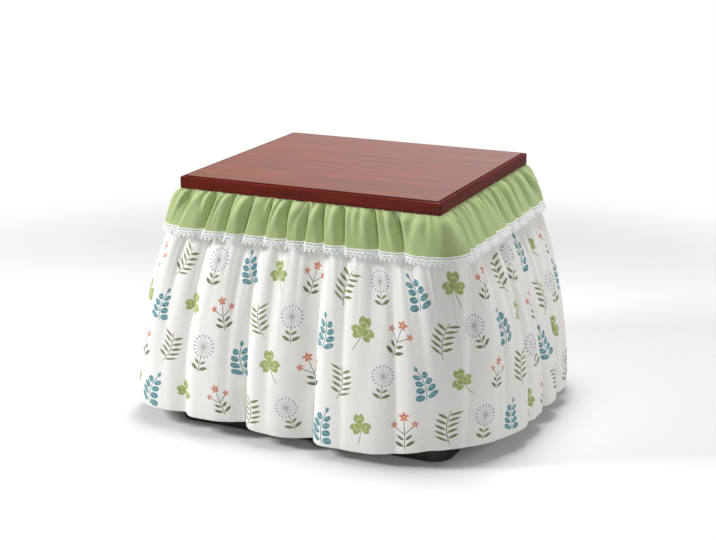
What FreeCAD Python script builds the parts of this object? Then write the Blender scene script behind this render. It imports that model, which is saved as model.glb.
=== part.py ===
"""A heated table: loose framed top, frilled cover, jointed frame with a fan heater, and a footrest base.

Millimetres. The origin is on the floor under the middle of the table, +X is to the right of someone
who sits at the front, +Y is to the back and +Z is up.
"""

import FreeCAD, Part
import math
import os

from FreeCAD import Rotation, Vector

# Whole table
table_height = 745.0
top_width = 800.0
top_depth = 720.0
cut_overrun = 5.0

# Table top: a panel that lies in four mitred mouldings, with battens under it
top_thickness = 36.0
panel_thickness = 18.0
panel_rise = 2.5
lip_width = 12.0
lip_round = 4.0
moulding_width = 40.0
underside_round = 1.5
top_corner_round = 5.0
groove_depth = 1.0
batten_width = 60.0
batten_end_gap = 2.0
batten_place_share = 0.24

# Frame: legs and aprons
top_overhang = 20.0
leg_size = 45.0
apron_height = 60.0
apron_thickness = 22.0
tenon_thickness = 9.0
tenon_height = 44.0
tenon_length = 21.0
joint_clearance = 0.2

# Cover: quilt, heading band, skirt, frill and lace
quilt_thickness = 5.0
band_thickness = 6.0
band_height = 20.0
band_corner_round = 16.0
seam_gap = 0.3
skirt_thickness = 3.0
skirt_hem_height = 38.0
skirt_flare_x = 170.0
skirt_flare_y = 84.0
skirt_flare_power = 0.9
skirt_fold_depth = 18.0
skirt_top_fold_share = 0.07
skirt_level_count = 8
skirt_top_corner = 12.0
hem_corner_front_left = 160.0
hem_corner_front_right = 290.0
hem_corner_back_right = 200.0
hem_corner_back_left = 200.0
frill_thickness = 1.2
frill_drop = 110.0
frill_spread = 16.0
frill_fold_depth = 9.0
frill_top_corner = 14.0
frill_hem_corner = 110.0
frill_top_gap = 0.5
frill_valley_share = 0.36
frill_long_side_folds = 12
frill_short_side_folds = 9
lace_drop = 22.0
lace_thickness = 1.0

# Corner brackets and their fasteners
bracket_sheet = 2.5
bracket_height = 40.0
bracket_flange = 22.0
bracket_stand_off = 14.0
leg_bolt_radius = 4.0
leg_bolt_length = 62.0
leg_bolt_bury = 32.0
leg_nut_across_flats = 13.0
leg_nut_thickness = 6.5
bolt_clearance = 0.2
screw_radius = 2.0
screw_length = 16.0
screw_head_radius = 4.0
screw_head_height = 2.5
screw_clearance = 0.1

# Footrest base
base_side_reach = 30.0
base_front_reach = 10.0
base_thickness = 36.0
base_rail_width = 68.0
base_corner_round = 60.0
base_edge_round = 3.0
base_tenon_length = 20.0
base_tenon_width = 34.0
base_tenon_height = 14.0
slat_count = 7
slat_width = 68.0
slat_thickness = 15.0
slat_seat = 18.0
slat_end_gap = 0.5
foot_radius = 20.0
foot_height = 5.0
foot_chamfer = 1.0
foot_recess_radius = 6.0
foot_recess_depth = 3.0
base_bolt_radius = 4.0
base_bolt_bury = 45.0
base_bolt_head_radius = 8.0
base_bolt_head_height = 5.0

# Rails that carry the heater
heater_rail_width = 30.0
heater_rail_height = 32.0
heater_rail_spacing = 190.0
heater_rail_drop = 12.0
rail_tenon_width = 18.0
rail_tenon_height = 20.0
rail_tenon_length = 10.0

# Heater
housing_size = 290.0
housing_height = 60.0
housing_sheet = 1.2
vent_count = 8
vent_width = 8.0
vent_inner_radius = 34.0
vent_outer_radius = 58.0
heater_screw_radius = 2.5
heater_screw_length = 20.0
heater_screw_head_radius = 5.0
heater_screw_head_height = 3.0
heater_screw_spacing = 220.0
reflector_sheet = 0.8
reflector_flange = 9.0
reflector_flange_height = 12.0
reflector_depth = 30.0
reflector_top_size = 212.0
fan_hole_radius = 49.0
motor_radius = 26.0
motor_height = 24.0
shaft_radius = 2.5
shaft_clearance = 0.05
shaft_bury = 14.0
hub_radius = 13.0
hub_height = 14.0
hub_gap = 3.0
blade_count = 5
blade_radius = 44.0
blade_thickness = 1.6
blade_width = 13.0
blade_pitch = 32.0
tube_radius = 6.0
tube_wall = 1.2
tube_spacing = 150.0
tube_length = 186.0
core_radius = 2.0
core_end = 3.0
holder_width = 15.0
holder_depth = 19.0
holder_height = 26.0
holder_bite = 8.0
tube_clearance = 0.1
cutout_radius = 7.0
cutout_height = 5.0
cutout_place = 68.0
rim_sheet = 1.2
rim_height = 12.0
rim_lip = 10.0
rim_gap = 0.3
net_thickness = 1.6
net_pitch = 18.0
net_wire = 2.2
net_border = 8.0

# Control box
case_width = 130.0
case_depth = 58.0
case_height = 54.0
case_wall = 2.5
case_place_share = 0.23
plate_thickness = 3.0
case_screw_spacing = 90.0
plate_screw_inset = 7.0
plate_screw_radius = 1.5
plate_screw_length = 12.0
plate_screw_head_radius = 2.8
plate_screw_head_height = 1.6
plate_boss_radius = 4.0
dial_place_share = -0.27
dial_radius = 17.0
dial_height = 14.0
dial_gap = 1.0
dial_skirt_height = 3.0
dial_grip_radius = 13.0
dial_round = 2.0
dial_travel = 270.0
pointer_width = 2.0
pointer_depth = 1.0
dial_shaft_radius = 3.0
dial_shaft_bury = 20.0
thermostat_size = 26.0
thermostat_depth = 22.0
lamp_place_share = 0.02
lamp_radius = 4.0
lamp_collar_radius = 6.0
lamp_collar_height = 1.0
lamp_stand = 2.0
lamp_body = 8.0
rocker_place_share = 0.27
rocker_radius = 9.0
rocker_length = 19.0
rocker_set_back = 7.0
rocker_rise = 2.5
rocker_dip = 1.5
rocker_gap = 0.3
rocker_tilt = 7.0
rocker_pin_radius = 1.5
rocker_pin_length = 2.0
rocker_pin_clearance = 0.05
switch_wall = 3.5
switch_back = 6.0
switch_flange = 2.0
switch_flange_height = 1.6
inlet_width = 32.0
inlet_height = 26.0
inlet_depth = 24.0
inlet_back_gap = 2.0
inlet_wall = 3.0
inlet_cavity_depth = 18.0
inlet_flange = 3.0
inlet_flange_height = 2.0
inlet_pin_length = 11.0
inlet_pin_width = 2.0
inlet_pin_height = 4.0
inlet_pin_spacing = 7.0

# Lead from the control box to the heater, and the grommets that it passes through. It ends a little
# way inside both. Each point of its route between the ends was chosen by hand: its shares of the way
# sideways and back, and how far it sags. An arc takes the same share of its shorter run at every point.
lead_radius = 3.2
lead_arc_share = 0.45
lead_reach = 5.0
lead_exit_side = 34.0
lead_exit_drop = 5.0
lead_entry_inset = 33.0
lead_entry_height = 21.0
grommet_neck_radius = 5.0
grommet_flange_radius = 7.0
grommet_flange_height = 2.0
lead_route = ((0.0, 0.17, 0.0), (0.10, 0.33, 9.0), (0.45, 0.49, 16.0), (0.82, 0.65, 12.0), (1.0, 0.82, 0.0))

# Heights and half sizes that several pieces share
top_underside = table_height - top_thickness
frame_top = top_underside - quilt_thickness
apron_bottom = frame_top - apron_height
base_top = foot_height + base_thickness
half_top = Vector(top_width / 2, top_depth / 2, 0)
half_frame = half_top - Vector(top_overhang, top_overhang, 0)
half_base = half_top + Vector(base_side_reach, base_front_reach, 0)
leg_centre = half_frame - Vector(leg_size / 2, leg_size / 2, 0)
leg_inside = half_frame - Vector(leg_size, leg_size, 0)
apron_face = half_frame - Vector(apron_thickness, apron_thickness, 0)
rail_bottom = frame_top - heater_rail_drop - heater_rail_height
housing_bottom = rail_bottom - housing_height
case_middle_x = top_width * case_place_share
case_front = plate_thickness - half_frame.y
case_back = case_front + case_depth
case_screw_y = apron_thickness / 2 - half_frame.y
control_height = apron_bottom - case_height / 2
lead_start = Vector(case_middle_x - lead_exit_side, case_back - lead_reach, control_height - lead_exit_drop)
lead_end = Vector(housing_size / 2 - lead_entry_inset, lead_reach - housing_size / 2, 0)
lead_end.z = housing_bottom + lead_entry_height

# The cover's pieces lie one outside the other: band, skirt and frill
band_half = half_frame + Vector(seam_gap + band_thickness, seam_gap + band_thickness, 0)
skirt_rise = seam_gap + skirt_thickness + skirt_fold_depth * skirt_top_fold_share

# Folds. A side runs from the middle of one corner to the middle of the next, and each half wave
# has the share of the side where it ends and its depth as a share of the fold depth.
front_fold_shares = (
    (0.04, -0.35), (0.13, 0.70), (0.19, -0.35), (0.31, 0.80), (0.355, -1.0), (0.52, 0.90),
    (0.565, -1.0), (0.72, 0.80), (0.78, -0.30), (0.90, 0.60), (0.94, -0.50), (1.0, 0.45),
)
right_fold_shares = (
    (0.05, -0.50), (0.22, 0.70), (0.27, -0.55), (0.42, 0.80), (0.47, -0.60), (0.60, 0.90),
    (0.665, -1.0), (0.80, 0.80), (0.85, -0.60), (1.0, 0.60),
)
back_fold_shares = (
    (0.05, -0.50), (0.20, 0.75), (0.25, -0.80), (0.40, 0.90), (0.45, -0.60), (0.57, 0.70),
    (0.62, -1.0), (0.76, 0.80), (0.81, -0.60), (0.93, 0.70), (0.96, -0.40), (1.0, 0.40),
)
left_fold_shares = (
    (0.05, -0.50), (0.19, 0.70), (0.24, -0.90), (0.38, 0.80), (0.44, -0.50), (0.58, 0.90),
    (0.64, -1.0), (0.79, 0.75), (0.84, -0.60), (1.0, 0.60),
)
# Levels of the frill and of the lace below it: share of the drop, of the flare and of the fold depth
frill_level_shares = ((1.0, 0.0, 0.40), (0.80, 0.20, 0.62), (0.40, 0.58, 0.85), (0.0, 0.86, 1.0))
lace_level_shares = ((1.0, 0.86, 1.0), (0.0, 1.0, 1.0))
# The frill's folds along a side: width against the mean fold and share of the fold depth
frill_fold_shares = (
    (1.30, 0.50), (0.90, 0.80), (1.15, 1.00), (0.80, 0.75), (1.05, 0.95), (0.90, 0.80),
    (1.20, 1.00), (0.75, 0.70), (1.10, 0.90), (0.95, 0.85), (1.00, 0.90), (1.50, 0.45),
)

up, right_way, back_way = Vector(0, 0, 1), Vector(1, 0, 0), Vector(0, 1, 0)
nodes = {}


def block(x0, x1, y0, y1, z0, z1):
    """A box between two corners."""
    return Part.makeBox(x1 - x0, y1 - y0, z1 - z0, Vector(x0, y0, z0))


def centred(middle, width, depth, z0, z1):
    """A box of a width and depth about a point in plan."""
    corner = Vector(middle.x - width / 2, middle.y - depth / 2, z0)
    return Part.makeBox(width, depth, z1 - z0, corner)


def rod(radius, length, start, direction):
    """A cylinder from a point along a direction."""
    return Part.makeCylinder(radius, length, start, direction)


def upright_edges(shape):
    """The straight edges of a shape that stand along Z."""
    found = []
    for edge in shape.Edges:
        a, b = edge.Vertexes[0].Point, edge.Vertexes[-1].Point
        if abs(a.x - b.x) + abs(a.y - b.y) < Part.Vertex(a).Tolerance and abs(a.z - b.z) > 0:
            found.append(edge)
    return found


def edges_at(shape, place, axis=2):
    """The edges of a shape whose ends all have one place along an axis, which is Z unless told."""
    return [e for e in shape.Edges if all(abs(v.Point[axis] - place) < v.Tolerance for v in e.Vertexes)]


def frustum(size_low, size_high, z0, z1):
    """A solid between two rectangles, each given as half sizes along X and Y."""
    wires = []
    for (hx, hy), z in ((size_low, z0), (size_high, z1)):
        corners = [Vector(-hx, -hy, z), Vector(hx, -hy, z), Vector(hx, hy, z), Vector(-hx, hy, z)]
        wires.append(Part.makePolygon(corners + corners[:1]))
    return Part.makeLoft(wires, True, True)


def prism(points, z0, z1):
    """A plan outline raised from one height to another."""
    corners = [Vector(x, y, z0) for x, y in points]
    return Part.Face(Part.makePolygon(corners + corners[:1])).extrude(Vector(0, 0, z1 - z0))


def four_ways(shape):
    """A shape made for the front right corner, and its mirror images at the other three."""
    across = shape.mirror(Vector(0, 0, 0), Vector(1, 0, 0))
    back = [s.mirror(Vector(0, 0, 0), Vector(0, 1, 0)) for s in (shape, across)]
    return [shape, across] + back


def keep(name, *shapes):
    """Files the solids of a node under its name."""
    solids = [solid for shape in shapes for solid in shape.Solids]
    nodes[name] = solids[0] if len(solids) == 1 else Part.makeCompound(solids)


def make_top():
    """The panel, its four mitred mouldings and the battens under it. The panel stands proud of the lip."""
    lip_height = table_height - panel_rise
    outer = block(-half_top.x, half_top.x, -half_top.y, half_top.y, top_underside, lip_height)
    outer = outer.makeFillet(top_corner_round, upright_edges(outer))
    outer = outer.makeFillet(lip_round, edges_at(outer, lip_height))
    outer = outer.makeFillet(underside_round, edges_at(outer, top_underside))
    seat = half_top - Vector(lip_width, lip_width, 0)
    inner = half_top - Vector(moulding_width, moulding_width, 0)
    seat_height = table_height - panel_thickness
    ring = outer.cut(block(-seat.x, seat.x, -seat.y, seat.y, seat_height, table_height + cut_overrun))
    ring = ring.cut(block(-inner.x, inner.x, -inner.y, inner.y, top_underside - cut_overrun, table_height))
    wide = seat + Vector(groove_depth, groove_depth, 0)
    ring = ring.cut(frustum((seat.x, seat.y), (wide.x, wide.y), lip_height - groove_depth, lip_height))
    reach = moulding_width + cut_overrun
    deep = half_top - Vector(reach, reach, 0)
    front = [(-half_top.x, -half_top.y), (half_top.x, -half_top.y), (deep.x, -deep.y), (-deep.x, -deep.y)]
    right = [(half_top.x, -half_top.y), (half_top.x, half_top.y), (deep.x, deep.y), (deep.x, -deep.y)]
    mitres = {"front": front, "right": right}
    mitres["back"] = [(-x, -y) for x, y in front]
    mitres["left"] = [(-x, -y) for x, y in right]
    for side, outline in mitres.items():
        keep("top_moulding_" + side, ring.common(prism(outline, top_underside, lip_height)))
    panel = block(-seat.x, seat.x, -seat.y, seat.y, seat_height, table_height)
    keep("top_panel", panel.makeChamfer(groove_depth, edges_at(panel, table_height)))
    length = 2 * (inner.y - batten_end_gap)
    middles = [Vector(sign * top_width * batten_place_share, 0, 0) for sign in (-1, 1)]
    keep("top_battens", *[centred(m, batten_width, length, top_underside, seat_height) for m in middles])


def tenon_heights():
    """The heights between which the aprons' tenons lie."""
    low = frame_top - (apron_height + tenon_height) / 2
    return low, low + tenon_height


def make_legs():
    """Four legs with mortises for the aprons, a bolt hole at the inner corner and one below."""
    low, high = tenon_heights()
    z0, z1 = low - joint_clearance, high + joint_clearance
    leg = centred(Vector(leg_centre.x, -leg_centre.y, 0), leg_size, leg_size, base_top, frame_top)
    half_tenon = tenon_thickness / 2 + joint_clearance
    apron_x, apron_y = half_frame.x - apron_thickness / 2, half_frame.y - apron_thickness / 2
    depth = tenon_length + joint_clearance
    x0, y0 = leg_inside.x, leg_inside.y
    leg = leg.cut(block(x0, x0 + depth, -apron_y - half_tenon, half_tenon - apron_y, z0, z1))
    leg = leg.cut(block(apron_x - half_tenon, apron_x + half_tenon, -y0 - depth, -y0, z0, z1))
    start, direction = bolt_line()
    leg = leg.cut(rod(leg_bolt_radius + bolt_clearance, leg_bolt_length + bolt_clearance, start, direction))
    below = Vector(leg_centre.x, -leg_centre.y, base_top)
    leg = leg.cut(rod(base_bolt_radius + bolt_clearance, base_bolt_bury + bolt_clearance, below, up))
    names = ("leg_front_right", "leg_front_left", "leg_back_right", "leg_back_left")
    for name, shape in zip(names, four_ways(leg)):
        keep(name, shape)


def bolt_line():
    """Where the front right leg bolt starts, inside the leg's inner corner, and its direction."""
    corner = Vector(leg_inside.x, -leg_inside.y, frame_top - apron_height / 2)
    direction = Vector(1, -1, 0).normalize()
    return corner - direction * (leg_bolt_length - leg_bolt_bury), direction


def make_aprons():
    """Four aprons with tenons, mortises for the heater rails and pilot holes for the screws."""
    z0, z1 = tenon_heights()
    sides = (("front", 0, -1), ("back", 0, 1), ("left", 1, -1), ("right", 1, 1))
    aprons = {}
    for side, turned, sign in sides:
        shoulder = leg_inside.y if turned else leg_inside.x
        across = half_frame.x if turned else half_frame.y
        inner, outer = sorted((sign * across, sign * (across - apron_thickness)))
        middle = (inner + outer) / 2
        body = block(-shoulder, shoulder, inner, outer, apron_bottom, frame_top)
        reach = shoulder + tenon_length
        tongue = block(-reach, reach, middle - tenon_thickness / 2, middle + tenon_thickness / 2, z0, z1)
        apron = body.fuse(tongue).removeSplitter()
        if turned:
            apron.rotate(Vector(0, 0, 0), up, -90)
        aprons["apron_" + side] = apron
    holes = rail_mortises() + bracket_screw_holes()
    for x in case_screw_places():
        at = Vector(x, case_screw_y, apron_bottom)
        holes.append(rod(screw_radius + screw_clearance, screw_length, at, up))
    for name, apron in aprons.items():
        keep(name, drilled(apron, holes))


def drilled(shape, holes):
    """A shape with the holes that reach it cut out."""
    for hole in holes:
        if shape.BoundBox.intersect(hole.BoundBox):
            shape = shape.cut(hole)
    return shape


def rail_mortises():
    """Mortises for the heater rails in the inner faces of the front and back aprons."""
    low, high = rail_tenon_heights()
    size = rail_tenon_width + 2 * joint_clearance
    length = 2 * (apron_face.y + rail_tenon_length + joint_clearance)
    middles = [Vector(sign * heater_rail_spacing / 2, 0, 0) for sign in (-1, 1)]
    return [centred(m, size, length, low - joint_clearance, high + joint_clearance) for m in middles]


def case_screw_places():
    """How far right the two screws that hold the control box lie."""
    return [case_middle_x + sign * case_screw_spacing / 2 for sign in (-1, 1)]


def rail_tenon_heights():
    """The heights between which the heater rails' tenons lie."""
    middle = rail_bottom + heater_rail_height / 2
    return middle - rail_tenon_height / 2, middle + rail_tenon_height / 2


def bracket_corners():
    """Where the front right bracket's diagonal meets the inner faces of the two aprons."""
    total = leg_inside.x + leg_inside.y - bracket_stand_off * math.sqrt(2)
    first = Vector(total - apron_face.y, -apron_face.y, 0)
    return first, Vector(apron_face.x, apron_face.x - total, 0)


def bracket_screw_places():
    """The middle of each screw of the front right bracket on the apron's face, and the way it drives."""
    first, second = bracket_corners()
    z = frame_top - apron_height / 2
    half = bracket_flange / 2
    return (
        (Vector(first.x - half, first.y, z), Vector(0, -1, 0)),
        (Vector(second.x, second.y + half, z), Vector(1, 0, 0)),
    )


def bracket_screw_holes():
    """Pilot holes for every bracket screw."""
    holes = []
    for place, way in bracket_screw_places():
        reach = screw_length - bracket_sheet + screw_clearance
        holes += four_ways(rod(screw_radius + screw_clearance, reach, place, way))
    return holes


def make_brackets():
    """Pressed corner brackets with their screws, leg bolts and nuts."""
    first, second = bracket_corners()
    z0 = frame_top - (apron_height + bracket_height) / 2
    sheet = bracket_sheet
    slope = sheet * math.tan(math.radians(22.5))
    outline = [
        (first.x - bracket_flange, first.y),
        (first.x, first.y),
        (second.x, second.y),
        (second.x, second.y + bracket_flange),
        (second.x - sheet, second.y + bracket_flange),
        (second.x - sheet, second.y + slope),
        (first.x - slope, first.y + sheet),
        (first.x - bracket_flange, first.y + sheet),
    ]
    bracket = prism(outline, z0, z0 + bracket_height)
    start, direction = bolt_line()
    bracket = bracket.cut(rod(leg_bolt_radius + bolt_clearance, leg_bolt_length, start, direction))
    screws = []
    for place, way in bracket_screw_places():
        seat = place - way * sheet
        bracket = bracket.cut(rod(screw_radius + screw_clearance, sheet, seat, way))
        screws.append(screw(seat, way, screw_radius, screw_length, screw_head_radius, screw_head_height))
    bolt = rod(leg_bolt_radius, leg_bolt_length, start, direction)
    seat = (first + second) / 2 - direction * sheet
    seat.z = frame_top - apron_height / 2
    nut = hexagon(leg_nut_across_flats, leg_nut_thickness)
    nut = nut.cut(rod(leg_bolt_radius + screw_clearance, leg_nut_thickness, Vector(0, 0, 0), up))
    nut.Placement = FreeCAD.Placement(seat, Rotation(up, direction * -1))
    keep("corner_brackets", *four_ways(bracket))
    keep("bracket_screws", *[solid for made in screws for solid in four_ways(made)])
    keep("leg_bolts", *four_ways(bolt))
    keep("leg_nuts", *four_ways(nut))


def screw(seat, way, radius, length, head_radius, head_height):
    """A screw with its head's underside on a seat and its shank driven along a direction."""
    shank = rod(radius, length, seat, way)
    head = rod(head_radius, head_height, seat - way * head_height, way)
    return shank.fuse(head).removeSplitter()


def hexagon(across_flats, height):
    """A hexagonal prism that stands on the origin."""
    radius = across_flats / math.sqrt(3)
    angles = [math.pi / 3 * k for k in range(6)]
    return prism([(radius * math.cos(a), radius * math.sin(a)) for a in angles], 0, height)


def make_base():
    """Rounded base rails, footrest slats, rubber feet and the bolts that hold the legs."""
    inside = half_base - Vector(base_rail_width, base_rail_width, 0)
    outer = block(-half_base.x, half_base.x, -half_base.y, half_base.y, foot_height, base_top)
    outer = outer.makeFillet(base_corner_round, upright_edges(outer))
    outer = outer.makeFillet(base_edge_round, edges_at(outer, base_top))
    ring = outer.cut(block(-inside.x, inside.x, -inside.y, inside.y, 0, base_top + cut_overrun))
    middle = (foot_height + base_top) / 2
    z0, z1 = middle - base_tenon_height / 2, middle + base_tenon_height / 2
    rail_x = half_base.x - base_rail_width / 2
    gap = (2 * inside.x - slat_count * slat_width) / (slat_count + 1)
    field = inside.x - gap
    reach = inside.y + slat_seat
    holes = [block(-field, field, -reach, reach, base_top - slat_thickness, base_top)]
    for sign in (-1, 1):
        length = 2 * (inside.y + base_tenon_length + joint_clearance)
        width = base_tenon_width + 2 * joint_clearance
        at = Vector(sign * rail_x, 0, 0)
        holes.append(centred(at, width, length, z0 - joint_clearance, z1 + joint_clearance))
    at = Vector(leg_centre.x, -leg_centre.y, 0)
    place = foot_place()
    pin_seat = place + up * foot_recess_depth
    pin_hole = rod(screw_radius + screw_clearance, screw_length + screw_clearance, pin_seat, up)
    head_depth = foot_height + base_bolt_head_height
    for hole in (
        rod(base_bolt_radius + bolt_clearance, base_top, at, up),
        rod(base_bolt_head_radius + bolt_clearance, head_depth, at, up),
        pin_hole,
    ):
        holes += four_ways(hole)
    for side, sign in (("front", -1), ("back", 1)):
        low, high = sorted((sign * half_base.y, sign * inside.y))
        rail = ring.common(block(-half_base.x, half_base.x, low, high, 0, base_top))
        keep("base_rail_" + side, drilled(rail, holes))
    for side, sign in (("left", -1), ("right", 1)):
        low, high = sorted((sign * half_base.x, sign * inside.x))
        rail = ring.common(block(low, high, -inside.y, inside.y, 0, base_top))
        length = 2 * (inside.y + base_tenon_length)
        tongue = centred(Vector(sign * rail_x, 0, 0), base_tenon_width, length, z0, z1)
        keep("base_rail_" + side, rail.fuse(tongue).removeSplitter())
    places = [slat_width / 2 - field + k * (slat_width + gap) for k in range(slat_count)]
    length = 2 * (reach - slat_end_gap)
    keep("footrest_slats", *[centred(Vector(x, 0, 0), slat_width, length, base_top - slat_thickness, base_top)
                             for x in places])
    seat = at + up * head_depth
    shank = base_top + base_bolt_bury - head_depth
    bolt = screw(seat, up, base_bolt_radius, shank, base_bolt_head_radius, base_bolt_head_height)
    keep("base_bolts", *four_ways(bolt))
    foot = rod(foot_radius, foot_height, place, up)
    foot = foot.makeChamfer(foot_chamfer, edges_at(foot, 0))
    foot = foot.cut(rod(foot_recess_radius, foot_recess_depth, place, up)).cut(pin_hole)
    keep("rubber_feet", *four_ways(foot))
    pin = screw(pin_seat, up, screw_radius, screw_length, screw_head_radius, screw_head_height)
    keep("foot_screws", *four_ways(pin))


def foot_place():
    """The middle of the front right foot, on the front rail beside the leg."""
    return Vector(leg_centre.x - leg_size, base_rail_width / 2 - half_base.y, 0)


def make_heater_rails():
    """Two rails between the front and back aprons, with stub tenons and holes for the heater's screws."""
    z0, z1 = rail_tenon_heights()
    length = 2 * (apron_face.y + rail_tenon_length)
    for side, sign in (("left", -1), ("right", 1)):
        middle = Vector(sign * heater_rail_spacing / 2, 0, 0)
        top = rail_bottom + heater_rail_height
        rail = centred(middle, heater_rail_width, 2 * apron_face.y, rail_bottom, top)
        rail = rail.fuse(centred(middle, rail_tenon_width, length, z0, z1)).removeSplitter()
        for y in (-heater_screw_spacing / 2, heater_screw_spacing / 2):
            at = Vector(middle.x, y, rail_bottom)
            rail = rail.cut(rod(heater_screw_radius + screw_clearance, heater_screw_length, at, up))
        keep("heater_rail_" + side, rail)


def make_housing():
    """The heater's sheet housing with its vents, and the screws that hold it to the rails."""
    half = housing_size / 2
    roof = rail_bottom
    inside = half - housing_sheet
    housing = block(-half, half, -half, half, housing_bottom, roof)
    housing = housing.cut(block(-inside, inside, -inside, inside, housing_bottom, roof - housing_sheet))
    for k in range(vent_count):
        half_vent = vent_width / 2
        slot = block(vent_inner_radius, vent_outer_radius, -half_vent, half_vent, roof - cut_overrun, roof)
        slot.rotate(Vector(0, 0, 0), up, 360 * (k + 0.5) / vent_count)
        housing = housing.cut(slot)
    screws = []
    for x in (-heater_rail_spacing / 2, heater_rail_spacing / 2):
        for y in (-heater_screw_spacing / 2, heater_screw_spacing / 2):
            seat = Vector(x, y, roof - housing_sheet)
            housing = housing.cut(rod(heater_screw_radius + screw_clearance, housing_sheet, seat, up))
            screws.append(screw(seat, up, heater_screw_radius, heater_screw_length, heater_screw_head_radius,
                                heater_screw_head_height))
    wall = Vector(lead_end.x, -half, lead_end.z)
    keep("heater_housing", housing.cut(grommet_hole(wall, housing_sheet)))
    keep("heater_screws", *screws)


def make_reflector():
    """The pressed reflector with its fan hole, and the cutout on its back; returns its ceiling's height."""
    inside = housing_size / 2 - housing_sheet
    flange_z = housing_bottom + reflector_flange_height
    top = flange_z + reflector_depth
    skin = reflector_sheet
    low, high = inside - reflector_flange, reflector_top_size / 2
    shell = frustum((low, low), (high, high), flange_z, top)
    hollow = frustum((low - skin, low - skin), (high - skin, high - skin), flange_z, top - skin)
    flange = block(-inside, inside, -inside, inside, flange_z, flange_z + skin)
    reflector = shell.fuse(flange).cut(hollow)
    reflector = reflector.cut(rod(fan_hole_radius, reflector_depth, Vector(0, 0, flange_z + skin), up))
    keep("reflector", reflector.removeSplitter())
    keep("thermal_cutout", rod(cutout_radius, cutout_height, Vector(cutout_place, cutout_place, top), up))
    return top - skin


def make_tubes(ceiling):
    """Quartz tubes, the cores inside them and the ceramic holders under the reflector's ceiling."""
    z = ceiling - holder_height + holder_depth / 2
    tubes, cores, holders = [], [], []
    for y in (-tube_spacing / 2, tube_spacing / 2):
        start = Vector(-tube_length / 2, y, z)
        tube = rod(tube_radius, tube_length, start, right_way)
        tubes.append(tube.cut(rod(tube_radius - tube_wall, tube_length, start, right_way)))
        core_start = start - right_way * core_end
        cores.append(rod(core_radius, tube_length + 2 * core_end, core_start, right_way))
        for side in (-1, 1):
            face = side * (tube_length / 2 - holder_bite)
            x0, x1 = sorted((face, face + side * holder_width))
            middle = Vector((x0 + x1) / 2, y, 0)
            holder = centred(middle, holder_width, holder_depth, ceiling - holder_height, ceiling)
            mouth, way = Vector(face, y, z), right_way * side
            bite = holder_bite + tube_clearance
            holder = holder.cut(rod(tube_radius + tube_clearance, bite, mouth, way))
            holders.append(holder.cut(rod(core_radius + tube_clearance, bite + core_end, mouth, way)))
    keep("quartz_tubes", *tubes)
    keep("heating_cores", *cores)
    keep("tube_holders", *holders)


def make_fan():
    """The motor under the housing's roof, its shaft and the bladed impeller."""
    motor_bottom = rail_bottom - housing_sheet - motor_height
    motor = rod(motor_radius, motor_height, Vector(0, 0, motor_bottom), up)
    bore = rod(shaft_radius + shaft_clearance, shaft_bury + shaft_clearance, Vector(0, 0, motor_bottom), up)
    keep("fan_motor", motor.cut(bore))
    hub_bottom = motor_bottom - hub_gap - hub_height
    foot = Vector(0, 0, hub_bottom)
    keep("fan_shaft", rod(shaft_radius, motor_bottom + shaft_bury - hub_bottom, foot, up))
    fan = rod(hub_radius, hub_height, foot, up)
    for k in range(blade_count):
        half, wide = blade_thickness / 2, blade_width / 2
        blade = block(0, blade_radius, -half, half, -wide, wide)
        blade.rotate(Vector(0, 0, 0), right_way, blade_pitch)
        blade.translate(Vector(0, 0, hub_bottom + hub_height / 2))
        blade.rotate(Vector(0, 0, 0), up, 360 * k / blade_count)
        fan = fan.fuse(blade)
    fan = fan.common(rod(blade_radius, hub_height, foot, up)).cut(rod(shaft_radius, hub_height, foot, up))
    keep("fan_impeller", fan.removeSplitter())


def make_guard():
    """The rim that clips round the housing and the wire net that lies on its lip."""
    half = housing_size / 2
    inner = half + rim_gap
    outer = inner + rim_sheet
    z0 = housing_bottom - rim_sheet - net_thickness
    rim = block(-outer, outer, -outer, outer, z0, z0 + rim_height)
    rim = rim.cut(block(-inner, inner, -inner, inner, z0 + rim_sheet, z0 + rim_height))
    window = inner - rim_lip
    keep("guard_rim", rim.cut(block(-window, window, -window, window, z0, z0 + rim_height)))
    count = int((2 * (half - net_border) + net_wire) // net_pitch)
    hole = net_pitch - net_wire
    first = (net_wire - count * net_pitch) / 2
    z = z0 + rim_sheet
    wires = [square_wire(-half, half, -half, half, z)]
    for i in range(count):
        for j in range(count):
            x, y = first + i * net_pitch, first + j * net_pitch
            wires.append(square_wire(x, x + hole, y, y + hole, z))
    net = Part.makeFace(wires, "Part::FaceMakerBullseye")
    keep("guard_net", net.extrude(up * net_thickness))


def make_heater():
    """Every piece of the heater."""
    make_housing()
    make_tubes(make_reflector())
    make_fan()
    make_guard()


def square_wire(x0, x1, y0, y1, z):
    """A closed rectangle at a height."""
    corners = [Vector(x0, y0, z), Vector(x1, y0, z), Vector(x1, y1, z), Vector(x0, y1, z)]
    return Part.makePolygon(corners + corners[:1])


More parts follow.
